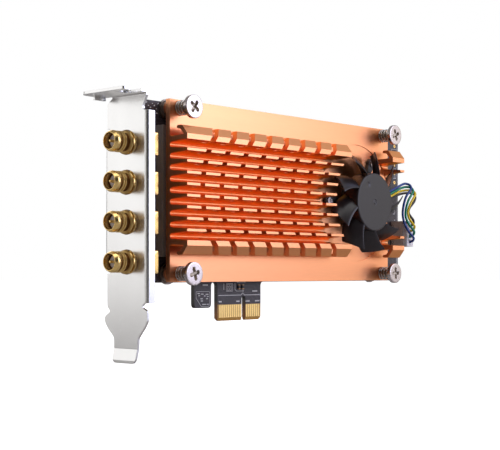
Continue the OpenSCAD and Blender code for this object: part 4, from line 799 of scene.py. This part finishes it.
wirePlan = {"radius": 0.45, "steps": 110, "sides": 14}
wireRoutes = {
    "blue": [[62.9, -7.6, 44], [70, -7.6, 44.9], [75, -7.5, 46.4], [80, -7, 48], [84, -6.3, 49.2],
        [86.2, -6.4, 49.7], [87.4, -7.5, 49.2], [87, -8.5, 47.9], [85.2, -8.8, 46.4], [83.4, -8.6, 44.4],
        [82.4, -8.2, 41.2], [82.1, -8, 37.8], [82.6, -8.4, 34.6], [83.9, -9.1, 31.9], [85.4, -9.7, 30],
        [86.6, -9.9, 28.9], [87, -9.3, 27.9], [86.9, -8.2, 27.5], [86.9, -7.2, 27.5]],
    "green": [[63.2, -7.6, 43], [70, -7.6, 43.9], [75, -7.5, 45.4], [80, -7, 47], [84, -6.3, 48],
        [87.3, -6.3, 48.5], [88.7, -7.4, 48.1], [88.4, -8.5, 46.8], [86.6, -8.8, 45.2], [84.9, -8.6, 43],
        [84, -8.2, 40], [83.8, -8.2, 37], [84.4, -9, 34.4], [85.6, -9.9, 32.5], [86.7, -10.1, 31.2],
        [87, -9.4, 30], [86.9, -8.2, 29.5], [86.9, -7.2, 29.5]],
    "yellow": [[63.4, -7.6, 42], [70, -7.6, 42.9], [75, -7.5, 44.4], [80, -7, 46], [84.4, -6.3, 46.9],
        [88.6, -6.2, 47.3], [90.1, -7.3, 47], [89.8, -8.5, 45.7], [88, -8.8, 44], [86.3, -8.6, 41.8],
        [85.4, -8.2, 39.2], [85.2, -8.6, 36.8], [85.8, -9.6, 34.8], [86.7, -10.2, 33.4], [87, -9.6, 32.2],
        [86.9, -8.2, 31.5], [86.9, -7.2, 31.5]],
    "black": [[63.4, -7.6, 41], [70, -7.6, 41.9], [75, -7.5, 43.4], [80, -7, 45], [84.8, -6.3, 45.9],
        [89.4, -6.1, 46.3], [91.6, -6.4, 46.1], [92.3, -6.8, 44.8], [91.4, -7, 43.2], [89.8, -6.9, 41.7],
        [88.2, -6.8, 40.2], [87.1, -7.3, 38.5], [86.8, -8.5, 37], [86.8, -9.6, 35.7], [87, -9.5, 34.3],
        [86.9, -8.2, 33.5], [86.9, -7.2, 33.5]],
}
for color, route in wireRoutes.items():
    line = smoothPath(route, wirePlan["steps"])
    wire = addPiece(f"wire{color.capitalize()}", [tube(line, wirePlan["radius"], wirePlan["sides"])],
        plain[color], replaces=[f"wire_{color}"], sharp=60)
print("wires ready")

# parts on the board

partPlan = {"length": 1.6, "width": 0.85, "height": 0.6, "cap": 0.32, "pitch": 2.9}
# middle and half width of the bridge chip, and the distance between neighbouring parts
chipX, chipHalf, pitch = 61.45, 6.5, partPlan["pitch"]
frontParts = [(-2.55, 10.27), (-0.67, 10.27)]
frontParts += [(chipX - chipHalf - 1.625, 34.5 + k * pitch) for k in range(3)]
frontParts += [(chipX + k * pitch, 56.45) for k in (-1, 0, 1)]
frontParts += [(chipX - k * pitch, 22.7) for k in (0, 1)]
frontParts += [(chipX + 2 * chipHalf, 21.5 + k * pitch) for k in (0, 1)]
# shares of the board's length and height
backParts = [(0.3, 0.3), (0.32, 0.3), (0.34, 0.3), (0.36, 0.3), (0.42, 0.3), (0.44, 0.3), (0.2, 0.55),
    (0.22, 0.55), (0.24, 0.55), (0.5, 0.7), (0.52, 0.7), (0.54, 0.7), (0.7, 0.45), (0.72, 0.45), (0.74, 0.45),
    (0.76, 0.45), (0.83, 0.62), (0.85, 0.62)]


def chipPart(at, face, side, plan):
    # a ceramic block between two end caps, all with round edges
    x, z = at
    w, h, c = plan["width"] / 2, plan["height"], plan["cap"]
    y = sorted((face, face + side * h))
    inner = sorted((face + side * 0.02, face + side * (h - 0.05)))
    block = roundedBlock((x - w + 0.03, x + w - 0.03), inner, (z + c * 0.7, z + plan["length"] - c * 0.7),
        0.06, 0.04)
    caps = [roundedBlock((x - w, x + w), y, (a, a + c), 0.08, 0.06) for a in (z, z + plan["length"] - c)]
    return block, caps


darkBlocks, tanBlocks, frontCaps, backCaps = [], [], [], []
for at in frontParts:
    block, caps = chipPart(at, place["front"], -1, partPlan)
    darkBlocks.append(block)
    frontCaps += caps
for x, z in backParts:
    at = place["boardX"] + x * place["boardLength"], z * place["boardHeight"]
    block, caps = chipPart(at, place["back"], 1, partPlan)
    tanBlocks.append(block)
    backCaps += caps
addPiece("frontPartBlocks", darkBlocks, plain["partDark"], replaces=["front_small_parts"])
addPiece("frontPartCaps", frontCaps, metal["endCopper"])
addPiece("rearPartBlocks", tanBlocks, plain["partTan"], replaces=["rear_small_parts"])
addPiece("rearPartCaps", backCaps, metal["tin"])

# test points in one column, each with its height and radius
padX = 86.95
padRows = [(64.35, 0.62), (56.98, 0.42), (53.74, 0.40), (50.43, 0.64)]
rings, cups = [], []
for z, r in padRows:
    ring = revolved([(0, r * 0.5), (0.05, r * 0.52), (0.05, r * 0.95), (0, r)], 28)
    cup = revolved([(-0.02, 0), (-0.02, r * 0.5), (0.03, r * 0.5), (0.012, r * 0.3), (0.01, 0)], 28)
    rings.append(shell(outY(ring, padX, place["front"], z), closeU=True, closeV=True))
    cups.append(shell(outY(cup, padX, place["front"], z), closeV=True))
addPiece("testRings", rings, metal["contact"], replaces=["test_points"])
addPiece("testCups", cups, plain["padCopper"])

ink = {"sunk": 0.004, "thick": 0.014}


def printedStroke(line, width):
    # a flat strip of ink along straight stretches: each point moves sideways by half the width along the
    # mean of its two neighbours' normals, on the board's face and a hundredth of a millimetre above it
    p = np.array(line, float)
    d = np.diff(p, axis=0)
    d /= np.linalg.norm(d, axis=1)[:, None]
    n = np.stack([-d[:, 1], d[:, 0]], -1)
    n = np.vstack([n[:1], n[:-1] + n[1:], n[-1:]])
    n /= np.maximum(0.3, (n ** 2).sum(1))[:, None] ** 0.5
    ring = []
    for side, lift in ((1, 0.0), (1, ink["thick"]), (-1, ink["thick"]), (-1, 0.0)):
        q = p + n * side * width / 2
        ring.append(np.stack([q[:, 0], place["front"] + ink["sunk"] - lift + 0 * q[:, 0], q[:, 1]], -1))
    grid = np.stack(ring, 1)
    ends = np.repeat(grid[[0, -1]].mean(1)[:, None], 4, 1)
    return shell(np.concatenate([ends[:1], grid, ends[1:]]), closeV=True)


def box(x0, x1, z0, z1):
    # a rectangle's outline, with a last short step along its first side so that the corner joins
    return [(x0, z0), (x1, z0), (x1, z1), (x0, z1), (x0, z0), (x0 + 0.01, z0)]


# plain marks on the component side, each a line of (x, z) points: frames, ticks, brackets and dots
marks = [([(-12.2, 8.35), (-1.2, 8.35), (-0.9, 8.75), (0.1, 8.75), (0.4, 8.35), (8.2, 8.35)], 0.2),
    ([(-0.3, 8.6), (-0.3, 10.4)], 0.14)]
marks += [([(-22.6, 9.7), (-16.6, 9.7), (-16.3, 9.4), (-16.3, 5.4), (-16.9, 4.9), (-20.2, 4.9), (-22.6, 7.6),
    (-22.6, 9.75)], 0.13)]
marks += [([(x, z), (x + w, z)], h) for x, z, w, h in ((-22.0, 9.1, 1.1, 0.3), (-21.6, 8.4, 0.8, 0.26),
    (-20.4, 8.9, 1.2, 0.3), (-19.0, 8.3, 0.7, 0.3), (-18.2, 8.8, 1.3, 0.3), (-17.6, 8.1, 0.8, 0.28),
    (-20.6, 7.4, 1.0, 0.3), (-20.4, 6.7, 0.9, 0.3), (-18.0, 7.4, 0.9, 0.26), (-19.8, 5.6, 1.8, 0.26),
    (-17.7, 5.6, 0.9, 0.26))]
marks += [([(-19.6, 11.8), (-17.2, 11.8)], 0.45), ([(-9.6, 10.2), (-9.6, 12.2)], 0.28)]
marks += [(box(-8.4, -5.4, 9.7, 12.2), 0.16)] + [(box(a, a + 0.8, b, b + 0.8), 0.14) for a in (-7.9, -6.7)
    for b in (10.0, 11.2)]
marks += [([(-4.2, 12.4), (-4.2, 10.2), (-3.6, 9.7), (0.2, 9.7)], 0.13), ([(-3.4, 12.6), (1.0, 12.6)], 0.12),
    ([(4.4, 9.6), (6.9, 9.6)], 0.4)]
marks += [([(x, 6.3), (x + w, 6.3)], 0.42) for x, w in ((-12.0, 1.3), (-3.6, 1.6), (1.0, 2.0), (5.8, 2.2))]
marks += [([(88.72, 12.5), (88.72, 67.6)], 0.16)]
marks += [([(85.0, 46.2), (85.0, 47.6), (86.0, 47.6)], 0.16), ([(86.3, 52.1), (87.9, 52.1)], 0.2),
    ([(87.3, 52.1), (87.3, 54.6)], 0.18), ([(86.4, 54.9), (86.4, 55.8), (88.0, 55.8)], 0.16)]
marks += [([(85.6, 39.2), (86.4, 40.6), (87.3, 39.2), (86.9, 38.2), (86.0, 38.4)], 0.2),
    ([(87.2, 41.6), (88.2, 41.0)], 0.22), ([(86.9, 35.9), (87.4, 35.9)], 0.45)]
marks += [([(84.4, 31.0), (85.0, 33.4), (86.0, 33.9), (85.6, 31.6), (86.7, 32.6), (87.2, 31.2), (88.2, 32.4)],
    0.2), ([(84.0, 30.6), (88.9, 30.6)], 0.18), ([(83.6, 25.4), (83.6, 30.4)], 0.16)]
marks += [(box(84.9, 88.0, 60.6, 63.2), 0.16), ([(84.9, 65.9), (86.2, 65.9), (86.2, 67.2)], 0.18),
    ([(85.0, 58.4), (86.0, 58.4)], 0.3), ([(85.2, 19.0), (88.2, 19.0), (88.2, 22.8)], 0.18),
    ([(84.8, 14.4), (87.8, 14.4)], 0.4)]
marks += [([(-47.0 + 0.82 * k, 67.9 - 0.75 * (k % 3)),
    (-46.6 + 0.82 * k, 67.9 - 0.75 * (k % 3) + 0.4 * (k % 2))], 0.26) for k in range(11)]
marks += [([(-46.8 + 1.3 * k, 65.6 - 0.5 * (k % 2)), (-46.2 + 1.3 * k, 65.6 - 0.5 * (k % 2))], 0.24)
    for k in range(6)]
addPiece("printedLines", [printedStroke(line, width) for line, width in marks], plain["silk"])

# solder cones where legs and pins come through the back
joints = []
for z in place["jackZ"]:
    joints += [(place["legX"] + sx, z + sz, 0.95) for sx in (-place["legOff"], place["legOff"])
        for sz in (-place["legOff"], place["legOff"])] + [(place["legX"], z, 0.8)]
joints += [(place["pinX"], z, 0.62) for z in place["pinZ"]]


def solderCone(x, z, r):
    # a hollow-sided cone: at the share k of its height its radius is r * (0.42 + 0.58 * (1 - k) to the 2.4)
    h = np.linspace(0, 1, 8)
    rows = [(0, 0)] + [(k * 0.95 * r, r * (0.42 + 0.58 * (1 - k) ** 2.4)) for k in h] + [(0.97 * r, 0)]
    p = revolved(rows, 20)
    return shell(np.stack([x + p[..., 0], place["back"] + p[..., 2], z + p[..., 1]], -1), closeV=True)


addPiece("solderCones", [solderCone(*j) for j in joints], metal["tin"])

# memory chip on the rear side: a moulded body with eight bent legs
memory = {"x": 3.95, "z": 41, "pitch": 1.27, "half": 2.55, "legR": 0.17}
legs = []
for k in range(4):
    for side in (-1, 1):
        x, z = memory["x"] + side * memory["half"], memory["z"] + (k - 1.5) * memory["pitch"]
        bend = ((0, 1.7), (0.35, 1.65), (0.5, 1.0), (0.85, 0.86), (1.1, 0.85))
        legs.append(tube(smoothPath([[x + side * out, y, z] for out, y in bend], 14), memory["legR"], 8))
addPiece("memoryLegs", legs, metal["tin"], sharp=60)
softened("memoryBody", "memory_chip", plain["chip"], 0.18)
print("board parts ready")

# finishes on the CAD nodes that are shown as they are

shown = {
    "circuit_board": plain["board"], "edge_contacts": metal["contact"], "jack_pins": metal["contact"],
    "board_standoffs": metal["standoff"], "radio_shield_1": metal["can"], "radio_shield_2": metal["can"],
        "radio_chips": plain["chip"],
    "bridge_chip": plain["chip"], "power_coil": plain["coil"], "crystal": metal["tin"],
        "thermal_pads": plain["pad"], "fan_base": plain["fanDark"],
    "fan_bearing": metal["bronze"], "fan_shaft": metal["steel"], "shaft_retainer": plain["retainer"],
        "fan_circuit_board": plain["fanBoard"],
    "fan_stator": metal["steel"], "fan_windings": metal["winding"], "rotor_yoke": metal["steel"],
        "rotor_magnet": plain["magnet"],
    "fan_screws": metal["screw"], "header_pins": metal["contact"], "plug_contacts": metal["tin"],
}
for name, material in shown.items():
    nodes[name].data.materials.clear()
    nodes[name].data.materials.append(material)
print("CAD nodes finished:", len(shown))
